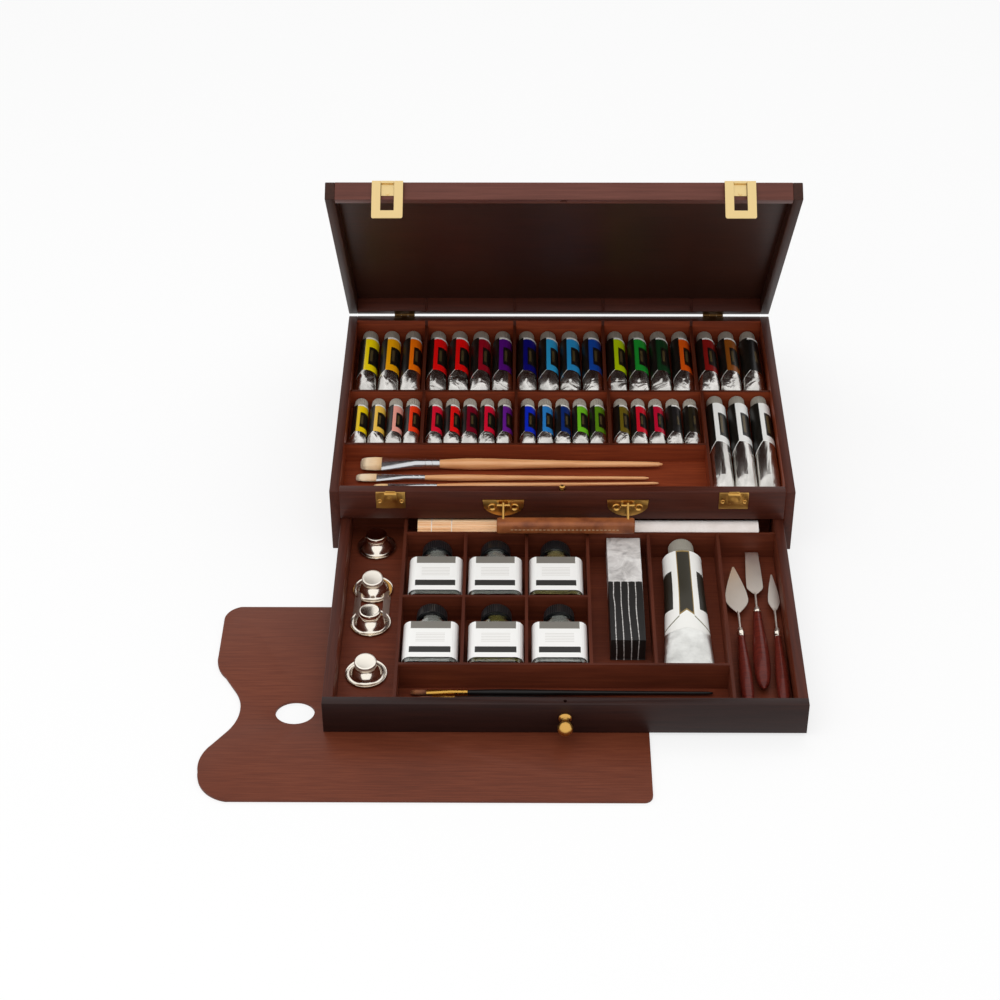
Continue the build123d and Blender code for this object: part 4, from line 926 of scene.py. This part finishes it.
LABEL_X, LABEL_Z = 26.2, 14.7
label_low = (-LABEL_X, BOTTLE["body"] - 51.0, bottle_mid_z - LABEL_Z)
label_high = (LABEL_X, BOTTLE["body"] - 1.5, bottle_mid_z + LABEL_Z)
strip = box_form("bottle_label", label_low, label_high, 8.2)
pick_faces(strip, lambda face: abs(face.normal.y) > 0.9)
bpy.ops.mesh.delete(type="FACE")
bpy.ops.mesh.select_all(action="SELECT")
leave()
paper = strip.modifiers.new("paper", "SOLIDIFY")
paper.thickness = 0.15 * MM
paper.offset = -1.0
bpy.ops.object.modifier_apply(modifier="paper")
uv = strip.data.uv_layers.new(name="label")
for corner, loop in enumerate(strip.data.loops):
    spot = strip.data.vertices[loop.vertex_index].co
    down = (label_high[1] - spot.y / MM) / (label_high[1] - label_low[1])
    uv.data[corner].uv = (0.5 + spot.x / (2 * LABEL_X * MM), down)
dress(join(spread(strip, spots), "bottle_label_strips"), label_paper(), "bottles", "bottle_labels", slot="paper")
print("labels made")

# %% Bottle caps
cap_end = BOTTLE["body"] + BOTTLE["shoulder"] + BOTTLE["neck_length"] + BOTTLE["cap_length"]
bottle_cap = ribbed_cap("bottle_cap", cap_end, bottle_mid_z, BOTTLE["cap"], BOTTLE["cap_length"], 44, 0.6)
dress(join(spread(bottle_cap, spots), "bottle_cap_row"), black_cap, "bottles", "bottle_caps", slot="bottle_cap")
print("bottle caps made")

# %% [markdown]
# ## Charcoal box
# A folding carton for charcoal sticks: the board is scored and folded, so its edges are slightly round,
# and a tuck flap closes the end. It is printed with a grey cloud like smudged charcoal, and below that
# with black sticks side by side, parted by pale lines that sway a little.

# %% Charcoal box
def smudged_carton(boundary):
    """Printed carton, grey and cloudy at the rear, black with pale streaks at the front."""
    material, shader, place = new_finish("printed_carton")
    split = add_node(material, "SeparateXYZ", Vector=place).outputs
    cloud = noise(material, place, 45.0, 6.0, Roughness=0.62, Distortion=1.0)
    grey = ramp(material, cloud, (0.3, "#8d8a88"), (0.45, "#c4c0bd"), (0.62, "#e6e3e0"))
    sway = noise(material, stretch(material, place, (40.0, 14.0, 10.0)), 1.0)
    line = maths(material, "PINGPONG", maths(material, "MULTIPLY_ADD", split[0], 1000.0 / 7.0, sway), 0.5)
    dusty = maths(material, "MULTIPLY_ADD", noise(material, place, 500.0), 0.12, line)
    black = ramp(material, dusty, (0.46, "#1a1918"), (0.51, "#6e6a67"), (0.55, "#e2dedb"))
    start = maths(material, "MULTIPLY_ADD", line, 0.0015, split[1])
    edge = add_node(material, "MapRange", Value=start, From_Min=boundary * MM, From_Max=(boundary + 1.0) * MM)
    fill(material, shader, Base_Color=mix(material, edge.outputs[0], black, grey), Roughness=0.4)
    return material


def box_of(node):
    """The corners of a node's box, in millimetres."""
    return [[v / MM for v in corner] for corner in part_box(node)]


CLOUD_SHARE = 0.44
low, high = box_of("charcoal_box")
carton = box_form("charcoal_carton", low, high, 0.7, 2)
for side in PAIR:
    pick_faces(carton, lambda face: face.normal.y * side > 0.9)
    bpy.ops.mesh.inset(thickness=0.8 * MM, depth=-0.5 * MM)
    leave()
print_start = high[1] - CLOUD_SHARE * (high[1] - low[1])
dress(carton, smudged_carton(print_start), "charcoal", "charcoal_box", slot="paper")
print("carton made")

# %% [markdown]
# ## Oil cups
# The cups are spun from sheet and nickelled: a flat clip rim, a domed bowl, and a screw lid with a milled
# edge. Rings at the rim and the foot of the dome carry the small radii that pick up the highlights. Two
# lids are brushed and screwed on slightly askew, so they face the light and look pale.

# %% Oil cups
CUP_X, CUP_Y = -185.0, (-163.0, -229.0, -278.0, -349.5)
CUP_OUTLINE = [(0, 16.3), (0.4, 16.9), (1.0, 19.3), (1.6, 19.6), (2.1, 19.4), (2.0, 18.9), (1.5, 18.3),
               (1.3, 15.6), (1.6, 14.9), (2.6, 14.2), (4.2, 13.4), (5.8, 12.3), (7.2, 11.0), (8.4, 9.8),
               (9.2, 9.0), (9.5, 8.9)]
LID_OUTLINE = [(9.3, 8.9), (9.5, 9.1), (11.6, 9.0), (11.9, 9.4), (12.2, 10.3), (12.8, 10.5), (16.3, 10.4),
               (17.1, 10.1), (17.5, 9.5), (17.5, 8.6), (17.4, 8.2)]
along_row = [(0, y, 0) for y in CUP_Y]
cups = spread(lathe("cup", "Z", CUP_OUTLINE, x=CUP_X, z=DRAWER_SEAT, sides=48), along_row)
clip_low, clip_high = (CUP_X - 17.5, CUP_Y[2], DRAWER_SEAT), (CUP_X + 17.5, CUP_Y[1], DRAWER_SEAT + 1.0)
clip = box_form("cup_clip", clip_low, clip_high, 0.3, 2)
pick_faces(clip, lambda face: abs(face.normal.z) > 0.9)
bpy.ops.mesh.inset(thickness=7.0 * MM)
bpy.ops.mesh.delete(type="FACE")
bpy.ops.mesh.select_all(action="SELECT")
bpy.ops.mesh.select_mode(type="EDGE")
bpy.ops.mesh.select_all(action="DESELECT")
bpy.ops.mesh.select_non_manifold()
bpy.ops.mesh.bridge_edge_loops()
face_out()
bpy.ops.mesh.select_mode(type="VERT")
leave()
dress(join(cups, "oil_cup_bowls"), nickel, "cups", "oil_cups", slot="nickel")
dress(clip, satin_nickel, "cups", slot="nickel")
cup_lids = spread(lathe("cup_lid", "Z", LID_OUTLINE, x=CUP_X, z=DRAWER_SEAT, sides=64), along_row)
for number, angle in ((1, 8.0), (3, 6.0)):
    middle = Vector((CUP_X, CUP_Y[number], DRAWER_SEAT + 12.0)) * MM
    cup_lids[number].data.transform(about(middle, Matrix.Rotation(math.radians(angle), 4, "X")))
dress(join(cup_lids[0::2], "oil_cup_lids"), nickel, "cups", "cup_lids", slot="nickel")
dress(join(cup_lids[1::2], "oil_cup_satin_lids"), satin_nickel, "cups", slot="nickel")
print("cups:", len(CUP_Y))

# %% [markdown]
# ## Brushes
# A brush is a turned handle, a seamless ferrule pressed flat at its mouth, and the hair. Handle and
# ferrule are grown ring by ring. The long handles are lacquered peach, the two fine ones black.

# %% Lacquer, handles and ferrules
def lacquer(name, code, deep, coat=0.6):
    """Wood under a clear gloss lacquer."""
    material, shader, place = new_finish(name)
    grain = noise(material, stretch(material, place, (25.0, 500.0, 500.0)), 1.0, 3.0)
    fill(material, shader, Base_Color=ramp(material, grain, (0.35, deep), (0.6, code)), Roughness=0.38,
         Coat_Weight=coat, Coat_Roughness=0.08, Specular_IOR_Level=0.6 * coat)
    return material


peach = lacquer("peach_lacquered_beech", "#eaae78", "#dc9962")
black_lacquer = lacquer("black_lacquered_beech", "#141212", "#0c0b0b", 0.25)
rosewood = lacquer("stained_knife_handle", "#642218", "#4c1610", 0.3)
# Each brush: handle end, Y there, hair tip, ferrule mouth, ferrule start, half width, radius, turn in degrees.
HOG = ((103.5, -81.5, -204.5, -182.5, -123.5, 11.2, 6.0, 0.0),
       (88.5, -101.2, -208.0, -187.0, -138.0, 6.4, 3.4, 0.0),
       (98.0, -109.0, -189.5, -175.0, -125.5, 4.6, 2.9, 1.35))
FINE = ((137.5, -377.0, -142.5, -127.5, -89.5, 3.2, 3.2, 0.0),
        (130.5, -385.6, -136.0, -122.0, -101.0, 3.2, 3.2, 0.0))
CRIMPS = ((0, 0.84), (0.03, 0.88), (0.12, 0.88), (0.13, 0.8), (0.15, 0.88), (0.24, 0.88), (0.25, 0.8),
          (0.27, 0.88), (0.42, 0.88))


def brush_point(spec, floor, x):
    """A point on the brush's axis at some X."""
    tail, tail_y, r, turn = spec[0], spec[1], spec[6], math.radians(spec[7])
    return (x, tail_y - (tail - x) * math.tan(turn), floor + r)


def brush_handle(name, spec, floor):
    """A turned handle, thickest just behind the ferrule."""
    tail, start, r = spec[0], spec[4], spec[6]
    outline = [(0, 0.5), (0.004, 1.0), (0.02, 0.28 * r + 0.6), (0.06, 0.38 * r + 0.4), (0.1, 0.45 * r + 0.2),
               (0.28, 0.56 * r), (0.45, 0.66 * r), (0.62, 0.8 * r), (0.75, 0.95 * r), (0.83, r), (0.88, 0.99 * r),
               (0.94, 0.88 * r), (1, 0.74 * r)]
    rings = [(brush_point(spec, floor, tail - (tail - start) * part), (size, size)) for part, size in outline]
    return grow(name, "X", rings, 24)


def brush_ferrule(name, spec, floor):
    """A tube with two crimps, pressed flat towards its mouth."""
    near, far, wide, r = spec[4], spec[3], spec[5], spec[6]
    sizes = [(part, size * r, size * r) for part, size in CRIMPS]
    for part in (0.55, 0.7, 0.85, 1.0):
        ease = (part - 0.42) / 0.58
        sizes.append((part, 0.88 * r + (wide - 0.88 * r) * ease, 0.88 * r + (0.52 * r - 0.88 * r) * ease))
    rings = [(brush_point(spec, floor, near + (far - near) * part), (a, b)) for part, a, b in sizes]
    return grow(name, "X", rings, 32)


def brush_set(word, specs, floor, lac, metal, slots):
    """Handles and ferrules of one kind of brush."""
    parts = (("_handle", brush_handle, lac, slots[0]), ("_ferrule", brush_ferrule, metal, slots[1]))
    for part, make, material, slot in parts:
        piece = join([make(word + part, spec, floor) for spec in specs], word + "_brush" + part + "s")
        dress(piece, material, word + "_brushes", word + part + "s", slot=slot)


brush_set("hog", HOG, TRAY_SEAT, peach, ferrule_metal, ("handle_wood", "steel"))
brush_set("fine", FINE, DRAWER_SEAT, black_lacquer, gold_ferrule, ("black_handle", "brass"))
print("handles and ferrules made")

# %% [markdown]
# Hair is hundreds of fine tapering strands, far too many to draw by hand. One formula places each root in
# the ferrule's mouth and each tip in a flatter, slightly rounded end, so no strand crosses another, and
# the mesh is made from those points.

# %% Hair
# Along a strand: the part of its length, how wide and how deep the tuft is there, and the strand's own size.
HAIR_STOPS = ((-1.5, 0.93, 0.47, 1.0), (0.35, 1.0, 0.5, 0.95), (0.72, 0.97, 0.4, 0.75), (1.0, 0.9, 0.26, 0.2))


def strand(spec, floor, side, height, length, thick):
    """The points of one three-sided strand, in metres."""
    points = []
    for part, wide, deep, slim in HAIR_STOPS:
        cx, cy, cz = brush_point(spec, floor, spec[3] - (part * length if part > 0 else part))
        cy += side * spec[5] * 0.92 * wide
        cz += height * spec[6] * deep * 0.92
        for corner in range(3):
            a, r = math.radians(90 + 120 * corner), thick * slim
            points.append((cx * MM, (cy + r * math.cos(a)) * MM, (cz + r * math.sin(a)) * MM))
    return points


def hair(name, specs, floor, across, deep, thick):
    """A tuft of strands for each brush, so many across and so many deep."""
    points, faces = [], []
    for spec in specs:
        for row in range(deep):
            height = (row + 0.5) / deep * 2 - 1
            spread_here = math.sqrt(1 - 0.75 * height * height)
            for column in range(across):
                side = ((column + 0.5 + 0.3 * math.sin(5.1 * row + 3.3 * column)) / across * 2 - 1) * spread_here
                uneven = 1.0 - 0.1 * abs(side) ** 3 - 0.07 * abs(math.sin(12.9 * column + 7.7 * row))
                base = len(points)
                points += strand(spec, floor, side, height, (spec[3] - spec[2]) * uneven, thick)
                for ring in range(3):
                    for corner in range(3):
                        a, b = base + ring * 3 + corner, base + ring * 3 + (corner + 1) % 3
                        faces.append((a, b, b + 3, a + 3))
                faces += [(base + 2, base + 1, base), (base + 9, base + 10, base + 11)]
    mesh = bpy.data.meshes.new(name)
    mesh.from_pydata(points, [], faces)
    mesh.update()
    piece = bpy.data.objects.new(name, mesh)
    scene.collection.objects.link(piece)
    bpy.context.view_layer.update()
    pick(piece)
    edit()
    face_out()
    leave()
    bpy.ops.object.shade_smooth()
    return piece


def hair_finish(name, root, tip, start, end):
    """Hair that changes from root to tip along X, with a little difference from strand to strand."""
    material, shader, place = new_finish(name)
    along = add_node(material, "SeparateXYZ", Vector=place).outputs[0]
    span = add_node(material, "MapRange", Value=along, From_Min=start * MM, From_Max=end * MM)
    single = noise(material, stretch(material, place, (40.0, 1500.0, 1500.0)), 1.0)
    blend = maths(material, "SUBTRACT", maths(material, "MULTIPLY_ADD", single, 0.6, span.outputs[0]), 0.3)
    tint = ramp(material, blend, (0.0, root), (1.0, tip))
    fill(material, shader, Base_Color=tint, Roughness=0.5, Sheen_Weight=0.2)
    return material


bristle = hair_finish("hog_bristle", "#f0c48c", "#fff0d4", -182, -206)
sable = hair_finish("sable_brown", "#5a2a14", "#a8683a", -126, -142)
hog_hair = hair("hog_hair", HOG, TRAY_SEAT, 70, 9, 0.2)
fine_hair = hair("fine_hair", FINE, DRAWER_SEAT, 30, 9, 0.14)
dress(hog_hair, bristle, "hog_brushes", "hog_bristles", slot="hog_hair")
dress(fine_hair, sable, "fine_brushes", "fine_hairs", slot="brown_hair")
print("hairs:", len(hog_hair.data.polygons) // 11, len(fine_hair.data.polygons) // 11)

# %% [markdown]
# ## Palette knives
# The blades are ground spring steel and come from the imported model. The handles are turned hardwood,
# stained and lacquered, with a metal collar where the shank enters.

# %% Knife handles
# Each knife: X and Y of the handle's end, X and Y of its neck, and its radius.
KNIVES = ((168.8, -405.0, 168.6, -299.0, 6.4), (184.6, -376.0, 186.6, -268.5, 8.0),
          (201.6, -405.0, 203.4, -299.5, 6.2))
KNIFE_Z = DRAWER_SEAT + 8.2
COLLAR_OUTLINE = [(-6.5, 3.5), (-6.2, 3.75), (-1.4, 3.6), (-1.0, 3.85), (0.2, 3.8), (0.7, 3.0)]
knife_handles, collars = [], []
for tail_x, tail_y, neck_x, neck_y, r in KNIVES:
    outline = [(0, 0.9), (0.008, 1.7), (0.03, 0.5 * r), (0.07, 0.72 * r), (0.16, 0.9 * r), (0.26, 0.98 * r),
               (0.36, r), (0.5, 0.95 * r), (0.62, 0.85 * r), (0.75, 0.7 * r), (0.85, 0.58 * r), (0.93, 0.53 * r),
               (1.0, 3.3)]
    rings = [((tail_x + (neck_x - tail_x) * part, tail_y + (neck_y - tail_y) * part, KNIFE_Z), (size, size))
             for part, size in outline]
    knife_handles.append(grow("knife_handle", "Y", rings, 28))
    collars.append(lathe("knife_collar", "Y", COLLAR_OUTLINE, neck_x, neck_y, KNIFE_Z))
dress(join(knife_handles, "knife_handle_set"), rosewood, "knives", "knife_handles", slot="knife_wood")
dress(join(collars, "knife_collars"), nickel, "knives", slot="steel")
print("knife handles and collars made")

# %% [markdown]
# ## Brush mat
# The mat is split bamboo tied with thread, with a cotton cloth sewn to it, all rolled up. The bamboo half
# is a bundle of slats set in a ring round a core, and the cloth half is a soft roll whose loose edge shows
# as a step.

# %% Brush mat
mat_low, mat_high = box_of("brush_mat")
mat_r = (mat_high[2] - mat_low[2]) / 2
mat_x0, mat_x1 = mat_low[0], mat_high[0]
mat_mid, mat_y, mat_z = ((a + b) / 2 for a, b in zip(mat_low, mat_high))
SLATS = 46
slat_high = mat_z + mat_r - 1.0
slat_rings = [(mat_x0, 0.6, 0.6), (mat_x0 + 0.4, 0.95, 1.0), (mat_mid - 0.4, 0.95, 1.0), (mat_mid, 0.6, 0.6)]
slat = grow("slat", "X", [((x, mat_y, slat_high), (a, b)) for x, a, b in slat_rings], 8)
slats = spread(slat, [(0, 0, 0)] * SLATS)
for count, slat in enumerate(slats):
    turn = Matrix.Rotation(2 * math.pi * count / SLATS, 4, "X")
    slat.data.transform(about(Vector((0, mat_y, mat_z)) * MM, turn))
tie_r = mat_r + 0.12
tie_outline = [(-0.5, tie_r - 0.4), (-0.3, tie_r), (0.3, tie_r), (0.5, tie_r - 0.4)]
ties = [lathe("tie", "X", tie_outline, mat_x0 + along, mat_y, mat_z, 46) for along in (14.0, 34.0)]
core = lathe("mat_core", "X", [(mat_x0 + 2, mat_r - 2.2), (mat_mid, mat_r - 2.2)], 0, mat_y, mat_z, 32)


def bamboo():
    """Split bamboo: pale straw with fine lengthwise fibres and a few darker slats."""
    material, shader, place = new_finish("split_bamboo")
    fibre = noise(material, stretch(material, place, (12.0, 420.0, 420.0)), 1.0, 4.0)
    tint = ramp(material, fibre, (0.3, "#e9b07c"), (0.5, "#fbd0a2"), (0.7, "#ffe4c2"))
    fill(material, shader, Base_Color=tint, Normal=relief(material, fibre, 0.3, 0.0002), Roughness=0.55)
    return material


def cotton():
    """Plain-woven cotton with coarse threads 1.6 mm apart."""
    material, shader, place = new_finish("bleached_cotton")
    warp, weft = (add_node(material, "TexWave", {"bands_direction": axis}, Vector=place, Scale=190.0).outputs[1]
                  for axis in "XZ")
    tint = ramp(material, noise(material, place, 60.0), (0.3, "#f0e6df"), (0.7, "#fbf3ee"))
    weave = relief(material, maths(material, "ADD", warp, weft), 0.5, 0.0003)
    fill(material, shader, Base_Color=tint, Normal=weave, Roughness=0.85, Sheen_Weight=0.3)
    return material


dress(join(slats + [core], "bamboo_roll"), bamboo(), "drawer", "brush_mat", slot="mat")
dress(join(ties, "mat_ties"), cotton(), "drawer", slot="mat")
print("slats:", SLATS, "ties:", len(ties))

# %% [markdown]
# The cloth is one long strip, wound up. Its edge is drawn as a single line along the roll, and that line is
# extruded step by step round a spiral whose radius grows by one layer each turn. Solidify then gives the
# cotton its thickness. A small wave on the radius keeps the layers from looking like a machined part.

# %% Rolled cloth
def rolled_cloth(name, x0, x1, inner, outer, layer, steps=26):
    """A strip of cloth wound on the mat's axis, and the length that it was cut to."""
    bpy.ops.mesh.primitive_plane_add(size=1.0, location=(0, 0, 0))
    strip = bpy.context.object
    strip.name = name
    edit("DESELECT")
    leave()
    for point in strip.data.vertices:
        point.select = point.co.y > 0
    edit()
    bpy.ops.mesh.delete(type="VERT")
    bpy.ops.mesh.select_all(action="SELECT")
    place, length = Vector((0, -0.5, 0)), 0.0
    bpy.ops.transform.resize(value=((x1 - x0) * MM, 1, 1), center_override=place)
    turns = (outer - inner) / layer
    count = int(turns * steps)
    for step in range(count + 1):
        angle = math.radians(205) - 2 * math.pi * turns * (1 - step / count)
        reach = inner + (outer - inner) * step / count
        reach += 0.12 * math.sin(3 * angle) * step / count
        target = Vector(((x0 + x1) / 2, mat_y + reach * math.cos(angle), mat_z + reach * math.sin(angle))) * MM
        if step:
            bpy.ops.mesh.extrude_region_move(TRANSFORM_OT_translate={"value": target - place})
            length += (target - place).length
        else:
            bpy.ops.transform.translate(value=target - place)
        place = target
    face_out()
    leave()
    weave = strip.modifiers.new("cloth thickness", "SOLIDIFY")
    weave.thickness = 0.5 * MM
    weave.offset = 0.0
    bpy.ops.object.modifier_apply(modifier="cloth thickness")
    bpy.ops.object.shade_smooth_by_angle(angle=math.radians(40))
    return strip, length


cloth_roll, cloth_length = rolled_cloth("cloth_roll", mat_mid, mat_x1, 4.0, mat_r - 0.5, 1.6)
dress(cloth_roll, cotton(), "drawer", slot="mat")
print("cloth length mm:", round(cloth_length / MM, 1))

# %% [markdown]
# ## Leather grip
# The grip is a saddle-leather strip folded round a core and sewn along its edge. The form is a block with
# well-rounded long edges, and the stitches are short slanted threads, modelled once and copied.

# %% Grip
def saddle_leather():
    """Vegetable-tanned leather, darker in its pores and lighter where it is worn."""
    material, shader, place = new_finish("saddle_leather")
    pore = add_node(material, "TexVoronoi", Vector=place, Scale=900.0).outputs[0]
    tint = ramp(material, noise(material, place, 70.0, 4.0), (0.32, "#6e3618"), (0.5, "#884a24"), (0.7, "#9e5a2c"))
    fill(material, shader, Base_Color=tint, Normal=relief(material, pore, 0.3, 0.0002), Roughness=0.48)
    return material


GRIP_DROP, STITCHES, STITCH_PITCH = 1.3, 27, 4.0
low, high = box_of("handle_grip")
low[2] -= GRIP_DROP
grip = box_form("grip_body", low, high, 3.4, 4, axis=0)
pick_faces(grip, lambda face: abs(face.normal.x) > 0.9)
bpy.ops.mesh.bevel(offset=2.2 * MM, segments=3, affect="EDGES")
leave(smooth=40)
dress(grip, saddle_leather(), "handle", "handle_grip", slot="grip")
stitch_rings = [(-1.3, 0, 0.12, 0.1), (-1.0, 0.12, 0.3, 0.25), (1.0, 0.12, 0.3, 0.25), (1.3, 0, 0.12, 0.1)]
stitch = grow("stitch", "X", [((x, 0, z), (a, b)) for x, z, a, b in stitch_rings], 8)
seam_y, seam_z = low[1] - 0.05, (low[2] + high[2]) / 2 - 0.6
stitches = spread(stitch, [(low[0] + 15 + i * STITCH_PITCH, seam_y, seam_z) for i in range(STITCHES)])
dress(join(stitches, "grip_stitches"), moulded("linen_thread", "#c9b08a", 0.7), "handle", slot="grip")
print("grip made")

# %% [markdown]
# ## Knob
# The knob is turned brass: a foot that sits on the drawer, a waist, and a ball. More rings than the plain
# solid has make the ball properly round.

# %% Knob
BALL = 7.2
knob_low, knob_high = box_of("drawer_knob")
foot_y = knob_high[1]
ball_mid = foot_y - 21.0 + BALL
knob_outline = [(foot_y, 6.0), (foot_y - 1.3, 6.0), (foot_y - 1.7, 5.6), (foot_y - 2.3, 4.5), (foot_y - 3.4, 3.9),
                (foot_y - 5.6, 3.4)]
for i in range(1, 12):
    a = math.radians(155 - i * 13.6)
    knob_outline.append((ball_mid + BALL * math.cos(math.pi - a), max(0.4, BALL * math.sin(a))))
knob_outline.sort(key=lambda ring: -ring[0])
knob = lathe("turned_knob", "Y", knob_outline, z=(knob_low[2] + knob_high[2]) / 2, sides=40)
dress(knob, brass, "drawer", "drawer_knob", slot="brass")
print("knob rings:", len(knob_outline))

# %% [markdown]
# ## Slips in the lid
# The lid's back board is grooved like the tray's, and the grooves run right through its height. Short
# slips glued in beside the panel close them at the top, so that nothing shows from behind. They are set
# in the lid's own plane, which turns about the hinge.

# %% Groove slips
LID_PLANE = Matrix.Translation(Vector((0, 158.05, 73.3)) * MM) @ Matrix.Rotation(math.radians(-LID_ANGLE), 4, "X")
slips = [box_form("slip", (x - 1.48, -11.3, 15.35), (x + 1.48, -9.82, 18.28), 0.15, 2, axis=2)
         for x in (-144.75, -48.25, 48.25, 144.75)]
slips = join(slips, "lid_groove_slips")
slips.data.transform(LID_PLANE)
dress(slips, lid_rear, "lid", slot="lid_wood")
print("slips made")

# %% [markdown]
# ## Table and light
# The set stands on a plain white table in soft daylight from large panels. The table is the stage, so it
# isn't part of the object. The world is white for the eye and for reflections and gentler as a light, so
# the colours stay as they were picked. The panels light the set without showing in polished metal, which
# mirrors the plain white room only.

# %% Floor, lights and world
WHITE_LIGHT = (1, 1, 1, 1)
TABLE_GLOW, SOFT_LIGHT = 0.72, 0.72


def seen_rays(owner):
    """1 for what the camera sees, straight or by way of a mirror or glass, and 0 for what lights the set."""
    rays = add_node(owner, "LightPath").outputs
    mirrored = maths(owner, "MAXIMUM", rays["Is Glossy Ray"], rays["Is Transmission Ray"])
    return maths(owner, "MAXIMUM", rays["Is Camera Ray"], mirrored)


bpy.ops.mesh.primitive_plane_add(size=12.0, location=(0, 2.0, -0.0002))
floor = bpy.context.object
floor.name = "white_table"
white, white_shader = new_finish("white_table_top")[:2]
fill(white, white_shader, Base_Color=colour("#f4f4f4"), Roughness=0.9, Specular_IOR_Level=0.0)
output = white_shader.outputs[0].links[0].to_node
glow = add_node(white, "Emission", Color=WHITE_LIGHT, Strength=1.0)
share = maths(white, "MULTIPLY", seen_rays(white), TABLE_GLOW)
both = add_node(white, "MixShader", Fac=share, i1=white_shader.outputs[0], i2=glow.outputs[0])
fill(white, output, Surface=both.outputs[0])
floor.data.materials.append(white)
floor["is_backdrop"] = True

world = bpy.data.worlds.new("studio")
scene.world = world
world.use_nodes = True
world.node_tree.nodes.clear()
soft, shown = (add_node(world, "Background", Color=WHITE_LIGHT, Strength=power) for power in (SOFT_LIGHT, 1.0))
room = add_node(world, "MixShader", Fac=seen_rays(world), i1=soft.outputs[0], i2=shown.outputs[0])
add_node(world, "OutputWorld", Surface=room.outputs[0])


def panel_light(name, place, aim, size, power):
    """A large soft panel that points at a place."""
    data = bpy.data.lights.new(name, "AREA")
    data.shape = "RECTANGLE"
    data.size, data.size_y = size
    data.energy = power
    lamp = bpy.data.objects.new(name, data)
    lamp.location = place
    lamp.rotation_euler = (Vector(aim) - Vector(place)).to_track_quat("-Z", "Y").to_euler()
    lamp.visible_glossy = False
    scene.collection.objects.link(lamp)


panel_light("key_panel", (-0.4, -1.2, 2.2), (0, -0.1, 0.05), (3.2, 2.4), 28.5)
panel_light("top_panel", (0.2, 0.9, 2.3), (0, 0, 0.05), (1.4, 0.8), 5.0)
scene.view_settings.view_transform = "Standard"
print("lights made")

# %% Sizes
low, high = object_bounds()
print("visual box:", [round(v, 4) for v in low], [round(v, 4) for v in high])
